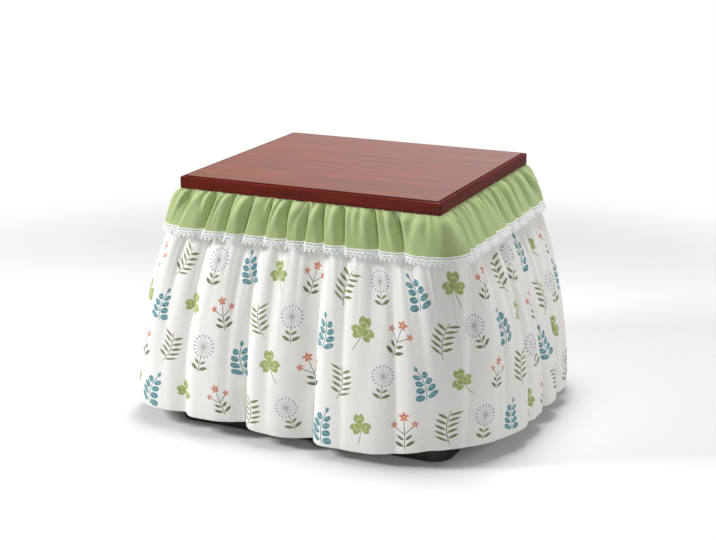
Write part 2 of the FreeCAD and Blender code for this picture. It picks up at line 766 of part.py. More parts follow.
def make_control_box():
    """The case under the front apron, its plate and everything that the two hold."""
    x0, x1 = case_middle_x - case_width / 2, case_middle_x + case_width / 2
    z0, z1 = apron_bottom - case_height, apron_bottom
    wall = case_wall
    case = block(x0, x1, case_front, case_back, z0, z1)
    case = case.cut(block(x0 + wall, x1 - wall, case_front, case_back - wall, z0 + wall, z1 - wall))
    face = case_front - plate_thickness
    plate = block(x0, x1, face, case_front, z0, z1)
    hold, pins = [], []
    for x in case_screw_places():
        seat = Vector(x, case_screw_y, z1 - wall)
        case = case.cut(rod(screw_radius + screw_clearance, wall, seat, up))
        hold.append(screw(seat, up, screw_radius, screw_length, screw_head_radius, screw_head_height))
    for x in (x0 + plate_screw_inset, x1 - plate_screw_inset):
        for z in (z0 + plate_screw_inset, z1 - plate_screw_inset):
            case = case.fuse(rod(plate_boss_radius, case_depth - wall, Vector(x, case_front, z), back_way))
            seat = Vector(x, face, z)
            hole = rod(plate_screw_radius + screw_clearance, plate_screw_length, seat, back_way)
            case, plate = case.cut(hole), plate.cut(hole)
            pins.append(screw(seat, back_way, plate_screw_radius, plate_screw_length, plate_screw_head_radius,
                              plate_screw_head_height))
    keep("case_screws", *hold)
    keep("plate_screws", *pins)
    plate = plate.cut(make_dial(face)).cut(make_lamp(face)).cut(make_switch(face))
    keep("control_plate", plate)
    wall_point = Vector(lead_start.x, case_back - wall, lead_start.z)
    case = case.cut(make_inlet(x1)).cut(grommet_hole(wall_point, wall))
    keep("control_case", case.removeSplitter())


def make_dial(face):
    """The dial and the thermostat behind the plate; returns the cut for its shaft in the plate."""
    x, z = case_middle_x + case_width * dial_place_share, control_height
    bore = dial_shaft_radius + shaft_clearance
    half = thermostat_size / 2
    mount = Vector(x, case_front, z)
    thermostat = block(x - half, x + half, case_front, case_front + thermostat_depth, z - half, z + half)
    keep("thermostat", thermostat.cut(rod(bore, dial_shaft_bury, mount, back_way)))
    back = face - dial_gap
    front = back - dial_height
    grip = rod(dial_grip_radius, dial_height, Vector(x, back, z), back_way * -1)
    grip = grip.makeFillet(dial_round, edges_at(grip, front, 1))
    dial = grip.fuse(rod(dial_radius, dial_skirt_height, Vector(x, back, z), back_way * -1))
    half = pointer_width / 2
    dial = dial.cut(block(x - half, x + half, front, front + pointer_depth, z, z + dial_radius))
    stem_length = dial_gap + plate_thickness + dial_shaft_bury - shaft_clearance
    dial = dial.fuse(rod(dial_shaft_radius, stem_length, Vector(x, back, z), back_way)).removeSplitter()
    dial.rotate(mount, back_way, -dial_travel / 2)
    keep("temperature_dial", dial)
    return rod(bore, plate_thickness, Vector(x, face, z), back_way)


def make_lamp(face):
    """The indicator lamp; returns the cut for it in the plate."""
    x, z = case_middle_x + case_width * lamp_place_share, control_height
    lamp = rod(lamp_radius, lamp_body + lamp_stand, Vector(x, face - lamp_stand, z), back_way)
    collar = rod(lamp_collar_radius, lamp_collar_height, Vector(x, face - lamp_collar_height, z), back_way)
    keep("indicator_lamp", lamp.fuse(collar).removeSplitter())
    return rod(lamp_radius + screw_clearance, plate_thickness, Vector(x, face, z), back_way)


def make_switch(face):
    """The rocker and the body that it turns in; returns the body's window in the plate."""
    x, z = case_middle_x + case_width * rocker_place_share, control_height
    y = face + rocker_set_back
    half = rocker_length / 2 + rocker_gap
    bore = rocker_radius + rocker_gap
    half_x, half_z = half + switch_wall, bore + switch_wall
    lip_x, lip_z = half_x + switch_flange, half_z + switch_flange
    lip_front = face - switch_flange_height
    body = block(x - half_x, x + half_x, face, y + bore + switch_back, z - half_z, z + half_z)
    body = body.fuse(block(x - lip_x, x + lip_x, lip_front, face, z - lip_z, z + lip_z))
    body = body.cut(rod(bore, 2 * half, Vector(x - half, y, z), right_way))
    body = body.cut(block(x - half, x + half, lip_front, y, z - bore, z + bore))
    reach = half + rocker_pin_length
    pin_bore = rocker_pin_radius + rocker_pin_clearance
    body = body.cut(rod(pin_bore, 2 * reach, Vector(x - reach, y, z), right_way))
    keep("switch_body", body.removeSplitter())

    start = x - rocker_length / 2
    front = y - rocker_radius - rocker_rise
    narrow = rocker_radius - (y - front) * math.tan(math.radians(rocker_tilt))
    top, bottom = Vector(start, y, z + rocker_radius), Vector(start, y, z - rocker_radius)
    corners = [top, Vector(start, front, z + narrow), Vector(start, front + rocker_dip, z),
               Vector(start, front, z - narrow), bottom]
    edges = [Part.LineSegment(a, b).toShape() for a, b in zip(corners, corners[1:])]
    edges.append(Part.Arc(bottom, Vector(start, y + rocker_radius, z), top).toShape())
    rocker = Part.Face(Part.Wire(edges)).extrude(right_way * rocker_length)
    pin_start = Vector(start - rocker_pin_length, y, z)
    rocker = rocker.fuse(rod(rocker_pin_radius, rocker_length + 2 * rocker_pin_length, pin_start, right_way))
    rocker = rocker.removeSplitter()
    rocker.rotate(Vector(x, y, z), right_way, rocker_tilt)
    keep("power_rocker", rocker)
    return block(x - half_x, x + half_x, face, case_front, z - half_z, z + half_z)


def make_inlet(x1):
    """The mains inlet in the case's right wall; returns its window in the case."""
    z = control_height
    half_y, half_z = inlet_width / 2, inlet_height / 2
    y = case_back - case_wall - inlet_back_gap - half_y
    outer = x1 + inlet_flange_height
    floor = outer - inlet_cavity_depth
    wide_y, wide_z = half_y + inlet_flange, half_z + inlet_flange
    thin_y, thin_z = half_y - inlet_wall, half_z - inlet_wall
    inlet = block(x1 - inlet_depth, x1, y - half_y, y + half_y, z - half_z, z + half_z)
    inlet = inlet.fuse(block(x1, outer, y - wide_y, y + wide_y, z - wide_z, z + wide_z))
    inlet = inlet.cut(block(floor, outer, y - thin_y, y + thin_y, z - thin_z, z + thin_z))
    half_w, half_h = inlet_pin_width / 2, inlet_pin_height / 2
    for k in (-1, 0, 1):
        at = y + k * inlet_pin_spacing
        tip = floor + inlet_pin_length
        inlet = inlet.fuse(block(floor, tip, at - half_w, at + half_w, z - half_h, z + half_h))
    keep("power_inlet", inlet.removeSplitter())
    return block(x1 - case_wall, x1, y - half_y, y + half_y, z - half_z, z + half_z)


def grommet_hole(wall_point, wall):
    """The hole for a grommet in a wall that faces front or back, from a point on its front face."""
    return rod(grommet_neck_radius + screw_clearance, wall, wall_point, back_way)


def grommet(wall_point, wall):
    """A rubber grommet with a flange on each face of a wall and a bore for the lead."""
    front = wall_point - back_way * grommet_flange_height
    made = rod(grommet_neck_radius, wall, wall_point, back_way)
    for start in (front, wall_point + back_way * wall):
        made = made.fuse(rod(grommet_flange_radius, grommet_flange_height, start, back_way))
    length = wall + 2 * grommet_flange_height
    return made.cut(rod(lead_radius + screw_clearance, length, front, back_way)).removeSplitter()


def make_lead():
    """The lead on straight runs joined by tangent arcs, and its two grommets."""
    run = lead_end - lead_start
    points = [lead_start]
    for across, back, sag in lead_route:
        points.append(lead_start + Vector(run.x * across, run.y * back, run.z * across - sag))
    points.append(lead_end)
    edges, last = [], points[0]
    for before, here, after in zip(points, points[1:], points[2:]):
        into, out = here - before, after - here
        setback = lead_arc_share * min(into.Length, out.Length)
        into.normalize()
        out.normalize()
        half_turn = into.getAngle(out) / 2
        radius = setback / math.tan(half_turn)
        print("lead arc radius", round(radius, 1))
        first, end = here - into * setback, here + out * setback
        inward = (out - into).normalize()
        middle = here + inward * (radius / math.cos(half_turn) - radius)
        edges += [Part.LineSegment(last, first).toShape(), Part.Arc(first, middle, end).toShape()]
        last = end
    edges.append(Part.LineSegment(last, points[-1]).toShape())
    path = Part.Wire(edges)
    start = (points[1] - points[0]).normalize()
    section = Part.Wire(Part.makeCircle(lead_radius, points[0], start))
    lead = path.makePipeShell([section], True, False)
    share = lead.Volume / (math.pi * lead_radius**2 * path.Length)
    print("lead length", round(path.Length, 1), "volume share", round(share, 4))
    keep("heater_lead", lead)
    box_wall = Vector(lead_start.x, case_back - case_wall, lead_start.z)
    heater_wall = Vector(lead_end.x, -housing_size / 2, lead_end.z)
    keep("lead_grommets", grommet(box_wall, case_wall), grommet(heater_wall, housing_sheet))


def side_point(size, corners, share, outward, turn):
    """A point on a rounded rectangle: share runs along a side between the middles of its corners.

    The size is half the length along the side and half the size outward; the corners are the radii at
    the side's two ends; outward moves the point off the line; turn is 0 for the front, 1 for the right.
    """
    along, out = size
    first, last = corners
    first_arc, last_arc = math.pi / 4 * first, math.pi / 4 * last
    straight = 2 * along - first - last
    length = share * (first_arc + straight + last_arc)
    if length < first_arc:
        angle, centre = math.radians(225) + length / first, Vector(first - along, first - out, 0)
        radius = first
    elif length > first_arc + straight:
        angle = math.radians(270) + (length - first_arc - straight) / last
        centre, radius = Vector(along - last, last - out, 0), last
    else:
        angle, centre, radius = math.radians(270), Vector(first - along + length - first_arc, 0, 0), out
    point = centre + Vector(math.cos(angle), math.sin(angle), 0) * (radius + outward)
    return Rotation(up, 90 * turn).multVec(point)


def folded_panel(levels, folds, thickness, turn):
    """One side of hanging cloth: wavy sections at several heights, joined by straight rulings.

    A level is a height, the side's size, its two corner radii and the fold depth. Each section runs
    along the outside of the cloth and comes back along its inside.
    """
    wires = []
    for height, size, corners, depth in levels:
        lift = Vector(0, 0, height)
        outer, inner = [], []
        begin = 0
        for end, swell in folds:
            stops = ((begin, 0), ((begin + end) / 2, swell * depth), (end, 0))
            for chain, shift in ((outer, 0), (inner, -thickness)):
                points = [side_point(size, corners, share, out + shift, turn) for share, out in stops]
                chain.append([point + lift for point in points])
            begin = end
        edges = [Part.Arc(*stops).toShape() for stops in outer]
        edges.append(Part.LineSegment(outer[-1][-1], inner[-1][-1]).toShape())
        edges += [Part.Arc(*reversed(stops)).toShape() for stops in reversed(inner)]
        edges.append(Part.LineSegment(inner[0][0], outer[0][0]).toShape())
        wires.append(Part.Wire(edges))
    return Part.makeLoft(wires, True, True)


def side_levels(shares, span, heading, flare, top_corner, hem_corners, depth, turn):
    """The levels of one side, from shares of the height, of the flare and of the fold depth."""
    low, high = span
    made = []
    for height_share, flare_share, depth_share in shares:
        size = heading + flare * flare_share
        along_out = (size.x, size.y) if turn % 2 == 0 else (size.y, size.x)
        ends = (hem_corners[turn], hem_corners[(turn + 1) % 4])
        corners = [top_corner + (hem - top_corner) * flare_share for hem in ends]
        made.append((low + (high - low) * height_share, along_out, corners, depth * depth_share))
    return made


def skirt_flare_share(fallen_share):
    """How far the skirt has spread, as a share of its flare, at a share of the way down."""
    return math.sin(math.pi / 2 * fallen_share**skirt_flare_power)


def skirt_levels():
    """The skirt's levels from the top down: shares of its height, its flare and its fold depth."""
    levels = []
    for k in range(skirt_level_count):
        fallen = k / (skirt_level_count - 1)
        flare = skirt_flare_share(fallen)
        levels.append((1 - fallen, flare, skirt_top_fold_share + (1 - skirt_top_fold_share) * flare))
    return levels


def frill_folds(turn):
    """Half waves along a side of the frill: a narrow valley and a wide crest for each fold."""
    count = frill_short_side_folds if turn % 2 else frill_long_side_folds
    chosen = frill_fold_shares[: count - 1] + frill_fold_shares[-1:]
    total = sum(width for width, depth in chosen)
    folds, at = [], 0
    for width, depth in chosen:
        folds += [((at + width * frill_valley_share) / total, -depth), ((at + width) / total, depth)]
        at += width
    return folds


def make_cover():
    """The quilt under the top, the heading band, the skirt, the frill and the frill's lace."""
    inner = half_frame + Vector(seam_gap, seam_gap, 0)
    band_low = frame_top - band_height
    band = block(-band_half.x, band_half.x, -band_half.y, band_half.y, band_low, frame_top)
    band = band.makeFillet(band_corner_round, upright_edges(band))
    keep("heading_band", band.cut(block(-inner.x, inner.x, -inner.y, inner.y, band_low, frame_top)))

    heading = band_half + Vector(skirt_rise, skirt_rise, 0)
    flare = Vector(skirt_flare_x, skirt_flare_y, 0)
    hems = (hem_corner_front_left, hem_corner_front_right, hem_corner_back_right, hem_corner_back_left)
    sides = (("front", front_fold_shares), ("right", right_fold_shares), ("back", back_fold_shares),
             ("left", left_fold_shares))
    skirt_top = frame_top - seam_gap
    span = (skirt_hem_height, skirt_top)
    shares = skirt_levels()
    for turn, (side, folds) in enumerate(sides):
        levels = side_levels(shares, span, heading, flare, skirt_top_corner, hems, skirt_fold_depth, turn)
        keep("skirt_" + side, folded_panel(levels, folds, skirt_thickness, turn))

    skirt_swing = skirt_fold_depth * skirt_top_fold_share
    frill_swing = frill_fold_depth * frill_level_shares[0][2]
    quilt_edge = heading + Vector(skirt_swing, skirt_swing, 0)
    quilt = block(-quilt_edge.x, quilt_edge.x, -quilt_edge.y, quilt_edge.y, frame_top, top_underside)
    keep("cover_quilt", quilt.makeFillet(frill_top_corner, upright_edges(quilt)))
    rise = seam_gap + frill_swing + frill_thickness
    heading = quilt_edge + Vector(rise, rise, 0)
    high = top_underside - frill_top_gap
    low = high - frill_drop
    bottom = low - lace_drop
    spread = Vector(frill_spread, frill_spread, 0)
    flare = flare * skirt_flare_share((skirt_top - bottom) / (skirt_top - skirt_hem_height)) + spread
    hems = [frill_hem_corner] * 4
    frills, laces = [], []
    for turn in range(4):
        folds = frill_folds(turn)
        for shares, span, thickness, made in (
            (frill_level_shares, (low, high), frill_thickness, frills),
            (lace_level_shares, (bottom, low), lace_thickness, laces),
        ):
            levels = side_levels(shares, span, heading, flare, frill_top_corner, hems, frill_fold_depth, turn)
            made.append(folded_panel(levels, folds, thickness, turn))
    keep("frill", *frills)
    keep("lace_trim", *laces)


def main():
    """Makes every piece and writes one file for each node."""
    make_top()
    make_legs()
    make_aprons()
    make_brackets()
    make_base()
    make_heater_rails()
    make_heater()
    make_control_box()
    make_lead()
    make_cover()
    os.makedirs("parts", exist_ok=True)
    for name, shape in nodes.items():
        if not shape.isValid():
            print("not valid:", name)
        shape.exportStep("parts/" + name + ".step")
    print(len(nodes), "nodes")


main()
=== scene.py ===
"""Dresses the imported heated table: glossy top, gathered cover, black base, heater and control box.

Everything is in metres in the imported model's frame, with the floor at zero and the front towards -Y.
"""

import logging
import math
from dataclasses import dataclass, field
from enum import Enum

import bpy
import numpy as np
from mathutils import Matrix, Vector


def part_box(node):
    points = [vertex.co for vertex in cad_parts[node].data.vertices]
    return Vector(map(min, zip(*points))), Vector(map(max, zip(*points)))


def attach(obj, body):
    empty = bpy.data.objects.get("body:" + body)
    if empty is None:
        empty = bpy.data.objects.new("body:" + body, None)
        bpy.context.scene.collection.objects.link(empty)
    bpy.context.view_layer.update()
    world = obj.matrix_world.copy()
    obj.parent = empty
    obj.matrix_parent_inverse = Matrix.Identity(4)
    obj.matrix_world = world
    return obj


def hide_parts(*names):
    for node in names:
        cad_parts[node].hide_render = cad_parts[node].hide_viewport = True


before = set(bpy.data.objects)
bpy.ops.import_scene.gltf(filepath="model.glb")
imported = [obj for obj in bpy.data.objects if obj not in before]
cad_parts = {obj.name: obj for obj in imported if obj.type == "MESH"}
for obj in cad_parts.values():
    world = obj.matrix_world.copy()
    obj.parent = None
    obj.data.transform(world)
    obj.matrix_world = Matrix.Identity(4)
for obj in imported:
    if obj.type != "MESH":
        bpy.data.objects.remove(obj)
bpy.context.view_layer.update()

MM = 0.001
FULL_TURN = 2 * math.pi
log = logging.getLogger("heated_table")

Formula = tuple
Array = np.ndarray


def add(tree: bpy.types.NodeTree, kind: str, settings: dict | None = None, inputs: dict | None = None,
        output: int | str = 0) -> bpy.types.NodeSocket:
    """Adds a node with its settings and links.

    Args:
        tree: The material's or world's node tree.
        kind: The node's type name without its leading "ShaderNode".
        settings: The node's own attributes.
        inputs: Socket name or number to a value, a socket to link or a formula, which is a tuple of a
            Math operation and its terms: values, sockets or formulas in turn.
        output: Name or number of the output to return.

    Returns:
        The chosen output socket.
    """
    node = tree.nodes.new("ShaderNode" + kind)
    for key, value in (settings or {}).items():
        setattr(node, key, value)
    for key, value in (inputs or {}).items():
        if isinstance(value, tuple) and isinstance(value[0], str):
            value = maths(tree, *value)
        if isinstance(value, bpy.types.NodeSocket):
            tree.links.new(value, node.inputs[key])
        else:
            node.inputs[key].default_value = value
    return node.outputs[output]


def maths(tree: bpy.types.NodeTree, operation: str, *terms: object,
          clamp: bool = False) -> bpy.types.NodeSocket:
    """Adds a Math node.

    Args:
        tree: The material's or world's node tree.
        operation: What it works out.
        terms: Its values, sockets or formulas in turn.
        clamp: Whether the result stays between zero and one.

    Returns:
        The result's socket.
    """
    settings = {"operation": operation, "use_clamp": clamp}
    return add(tree, "Math", settings, dict(enumerate(terms)))


def linear(hex_colour: str) -> tuple[float, float, float, float]:
    """Turns an sRGB hex colour to linear red, green and blue with an alpha of one.

    Args:
        hex_colour: A colour such as "#A8BF7E".

    Returns:
        Four linear channels.
    """
    channels = [int(hex_colour[at : at + 2], 16) / 255 for at in (1, 3, 5)]
    red, green, blue = [c / 12.92 if c <= 0.04045 else ((c + 0.055) / 1.055) ** 2.4 for c in channels]
    return red, green, blue, 1.0


def mixed(tree: bpy.types.NodeTree, share: object, first: object, second: object,
          blend: str = "MIX") -> bpy.types.NodeSocket:
    """Blends two colours by a share, which is a value, a socket or a formula.

    Args:
        tree: The node tree.
        share: How much of the second colour shows.
        first: A hex colour or a colour socket.
        second: A hex colour or a colour socket.
        blend: The Mix node's way of blending.

    Returns:
        The blended colour.
    """
    one, two = (linear(c) if isinstance(c, str) else c for c in (first, second))
    return add(tree, "Mix", {"data_type": "RGBA", "blend_type": blend}, {0: share, 6: one, 7: two}, 2)


@dataclass(frozen=True)
class Finish:
    """What a surface is made of; its look is set on one Principled shader.

    A relief is how far the surface's fine bumps stand, in metres.
    """

    name: str
    colour: str
    roughness: float
    metallic: float = 0.0
    ior: float = 1.5
    specular: float = 0.5
    coat: float = 0.0
    coat_roughness: float = 0.04
    sheen: float = 0.0
    transmission: float = 0.0
    glow: float = 0.0

    def make(self) -> bpy.types.Material:
        """Makes the material, or returns the one already made.

        Returns:
            The material.
        """
        if self.name in bpy.data.materials:
            return bpy.data.materials[self.name]
        material = bpy.data.materials.new(self.name)
        material.use_nodes = True
        material.diffuse_color = linear(self.colour)
        tree = material.node_tree
        shader = next(node for node in tree.nodes if node.type == "BSDF_PRINCIPLED")
        values = {"Base Color": linear(self.colour), "Roughness": self.roughness, "Metallic": self.metallic,
                  "IOR": self.ior, "Specular IOR Level": self.specular, "Coat Weight": self.coat,
                  "Coat Roughness": self.coat_roughness, "Sheen Weight": self.sheen,
                  "Transmission Weight": self.transmission}
        for key, value in values.items():
            shader.inputs[key].default_value = value
        if self.glow:
            shader.inputs["Emission Color"].default_value = linear(self.colour)
            shader.inputs["Emission Strength"].default_value = self.glow
        self.detail(tree, shader)
        return material

    def detail(self, tree: bpy.types.NodeTree, shader: bpy.types.Node) -> None:
        """Links the patterns that make up this finish to its shader.

        Args:
            tree: The material's node tree.
            shader: Its Principled shader.
        """

    def vary_gloss(self, tree: bpy.types.NodeTree, shader: bpy.types.Node, pattern: object,
                   swing: float) -> None:
        """Lets the roughness swing about its value with a pattern from 0 to 1.

        Args:
            tree: The material's node tree.
            shader: Its Principled shader.
            pattern: The pattern's socket.
            swing: The whole swing.
        """
        low = self.roughness - swing / 2
        rough = maths(tree, "MULTIPLY_ADD", pattern, swing, low)
        tree.links.new(rough, shader.inputs["Roughness"])

    def bump(self, tree: bpy.types.NodeTree, shader: bpy.types.Node, height: object, relief: float) -> None:
        """Roughens the surface by a height socket or formula whose full swing stands for the relief.

        Args:
            tree: The material's node tree.
            shader: Its Principled shader.
            height: The height's socket or formula.
            relief: How far the full swing stands, in metres.
        """
        normal = add(tree, "Bump", None, {"Strength": 1.0, "Distance": relief, "Height": height})
        tree.links.new(normal, shader.inputs["Normal"])


@dataclass(frozen=True)
class Timber(Finish):
    """Wood with streaks along its grain, dark pores and a lacquer or oil over them.

    The grain says how much faster the pattern changes along each axis; it is least along the grain. Streak
    and pore are widths in metres. A seam is the middle and the half width, in height, of a band that is
    painted darker as painted shade along the panel's standing edge.
    """

    dark: str = "#3A1410"
    seam: tuple[float, float] | None = None
    seam_shade_colour: str = "#260A07"
    grain: tuple[float, float, float] = (1.0, 12.0, 12.0)
    streak: float = 9 * MM
    pore: float = 0.9 * MM
    relief: float = 0.02 * MM
    streak_contrast: float = 2.2
    pore_limit: float = 0.58
    pore_share: float = 0.22

    def detail(self, tree: bpy.types.NodeTree, shader: bpy.types.Node) -> None:
        """Stretches two noises along the grain: broad streaks of colour and fine pores.

        Args:
            tree: The material's node tree.
            shader: Its Principled shader.
        """
        place = add(tree, "TexCoord", output="Object")
        shrunk = tuple(g / max(self.grain) for g in self.grain)
        along = add(tree, "Mapping", None, {"Vector": place, "Scale": shrunk})
        streaks = add(tree, "TexNoise", None, {"Vector": along, "Scale": 1 / self.streak, "Detail": 3.0,
                                               "Distortion": 0.6})
        pores = add(tree, "TexNoise", None, {"Vector": along, "Scale": 1 / self.pore, "Detail": 2.0})
        streak_share = ("MULTIPLY_ADD", ("SUBTRACT", streaks, 0.5), self.streak_contrast, 0.5)
        tone = mixed(tree, streak_share, self.dark, self.colour)
        in_pore = ("MULTIPLY", ("GREATER_THAN", pores, self.pore_limit), self.pore_share)
        tone = mixed(tree, in_pore, tone, self.dark)
        # Paints a darker band at the seam's height: painted shade on the panel's standing edge.
        if self.seam:
            height = add(tree, "SeparateXYZ", None, {0: place}, 2)
            middle, half = self.seam
            in_seam_shade = maths(tree, "COMPARE", height, middle, half)
            tone = mixed(tree, in_seam_shade, tone, self.seam_shade_colour)
        tree.links.new(tone, shader.inputs["Base Color"])
        self.vary_gloss(tree, shader, pores, 0.12)
        self.bump(tree, shader, pores, self.relief)


@dataclass(frozen=True)
class Grained(Finish):
    """Moulded, painted, cast or fired stuff with a fine even texture and slight mottling."""

    grain: float = 0.8 * MM
    relief: float = 0.03 * MM
    mottle: float = 0.06

    def detail(self, tree: bpy.types.NodeTree, shader: bpy.types.Node) -> None:
        """Adds the texture as bump and as a faint change of tone and gloss.

        Args:
            tree: The material's node tree.
            shader: Its Principled shader.
        """
        place = add(tree, "TexCoord", output="Object")
        fine = add(tree, "TexNoise", None, {"Vector": place, "Scale": 1 / self.grain, "Detail": 2.0})
        broad = add(tree, "TexNoise", None, {"Vector": place, "Scale": 0.05 / self.grain, "Detail": 3.0})
        tone = mixed(tree, ("MULTIPLY", broad, 2 * self.mottle), self.colour, "#000000")
        tree.links.new(tone, shader.inputs["Base Color"])
        self.vary_gloss(tree, shader, broad, 0.16)
        self.bump(tree, shader, fine, self.relief)


@dataclass(frozen=True)
class Rolled(Grained):
    """Bare sheet metal or turned metal with fine lines along one axis."""

    lines: tuple[float, float, float] = (1.0, 1.0, 30.0)

    def detail(self, tree: bpy.types.NodeTree, shader: bpy.types.Node) -> None:
        """Adds the lines as bump and gloss, and cloudy patches of tone.

        Args:
            tree: The material's node tree.
            shader: Its Principled shader.
        """
        place = add(tree, "TexCoord", output="Object")
        along = add(tree, "Mapping", None, {"Vector": place, "Scale": self.lines})
        fine = add(tree, "TexNoise", None, {"Vector": along, "Scale": 0.03 / self.grain, "Detail": 2.0})
        broad = add(tree, "TexNoise", None, {"Vector": place, "Scale": 0.08 / self.grain, "Detail": 2.0})
        tone = mixed(tree, ("MULTIPLY", broad, 2 * self.mottle), self.colour, "#3A3A3C")
        tree.links.new(tone, shader.inputs["Base Color"])
        self.vary_gloss(tree, shader, fine, 0.3)
        self.bump(tree, shader, fine, self.relief)


@dataclass(frozen=True)
class Woven(Finish):
    """Plain woven cotton, matt, with a soft sheen. Reads the cloth's own UV map, in metres.

    The dye fades by patches as wide as the cloud, and by single threads of slub yarn.
    """

    thread: float = 1.1 * MM
    relief: float = 0.10 * MM
    fade: str = "#FFFFFF"
    fade_share: float = 0.12
    cloud: float = 1000 / 14 * MM
    slub: float = 25 * MM
    slub_stretch: float = 22.0

    def cloth_place(self, tree: bpy.types.NodeTree) -> bpy.types.NodeSocket:
        """Where a point lies on the flat cloth, in metres."""
        return add(tree, "UVMap", {"uv_map": "cloth"})

    def ground(self, tree: bpy.types.NodeTree, place: bpy.types.NodeSocket) -> bpy.types.NodeSocket:
        """The colour of the cloth before anything is printed on it: uneven, as cotton takes dye.

        Args:
            tree: The material's node tree.
            place: The point on the flat cloth, in metres.

        Returns:
            The colour.
        """
        cloud = add(tree, "TexNoise", None, {"Vector": place, "Scale": 1 / self.cloud, "Detail": 4.0})
        yarn = add(tree, "Mapping", None, {"Vector": place, "Scale": (1.0, self.slub_stretch, 1.0)})
        threads = add(tree, "TexNoise", None, {"Vector": yarn, "Scale": 1 / self.slub, "Detail": 2.0})
        tone = mixed(tree, ("MULTIPLY", cloud, self.fade_share), self.colour, self.fade)
        return mixed(tree, ("MULTIPLY", threads, self.fade_share), tone, self.fade)

    def detail(self, tree: bpy.types.NodeTree, shader: bpy.types.Node) -> None:
        """Adds the ground colour and the weave, whose threads are at least twice as coarse as real ones.

        Args:
            tree: The material's node tree.
            shader: Its Principled shader.
        """
        place = self.cloth_place(tree)
        tree.links.new(self.ground(tree, place), shader.inputs["Base Color"])
        parts = add(tree, "SeparateXYZ", None, {0: place})
        over, along = parts, parts.node.outputs[1]
        turns = FULL_TURN / (2 * self.thread)
        weave = ("MULTIPLY", ("SINE", ("MULTIPLY", over, turns)), ("SINE", ("MULTIPLY", along, turns)))
        self.bump(tree, shader, weave, self.relief)


def leaf(x: object, y: object, at: tuple[float, float], lean: float, half_width: float, half_length: float,
         blunt: float = 2.0) -> Formula:
    """The formula of a pointed leaf's mask in a motif's own coordinates, in millimetres.

    Args:
        x: Across the motif: a socket or a formula.
        y: Up the motif.
        at: The leaf's middle.
        lean: How far the leaf leans from upright to the left, in degrees.
        half_width: Half its width.
        half_length: Half its length.
        blunt: Two for pointed ends, more for round ones.

    Returns:
        One inside the leaf and zero outside.
    """
    cosine, sine = math.cos(math.radians(lean)), math.sin(math.radians(lean))
    across = ("MULTIPLY_ADD", x, cosine, ("MULTIPLY_ADD", y, sine, -at[0] * cosine - at[1] * sine))
    rise = (at[0] * sine - at[1] * cosine) / half_length
    along = ("MULTIPLY_ADD", x, -sine / half_length, ("MULTIPLY_ADD", y, cosine / half_length, rise))
    limit = ("MULTIPLY_ADD", ("POWER", along, blunt), -half_width, half_width)
    return "LESS_THAN", ("ABSOLUTE", across), limit


def distance(tree: bpy.types.NodeTree, x: object, y: object) -> bpy.types.NodeSocket:
    """How far a point lies from the origin of two places, each a socket or a formula."""
    return maths(tree, "SQRT", ("ADD", ("POWER", x, 2.0), ("POWER", y, 2.0)))


def every(*masks: Formula) -> Formula:
    """The formula of the place where all masks hold."""
    return masks[0] if len(masks) == 1 else ("MULTIPLY", masks[0], every(*masks[1:]))


def some(*masks: Formula) -> Formula:
    """The formula of the place where at least one mask holds."""
    return masks[0] if len(masks) == 1 else ("MAXIMUM", masks[0], some(*masks[1:]))


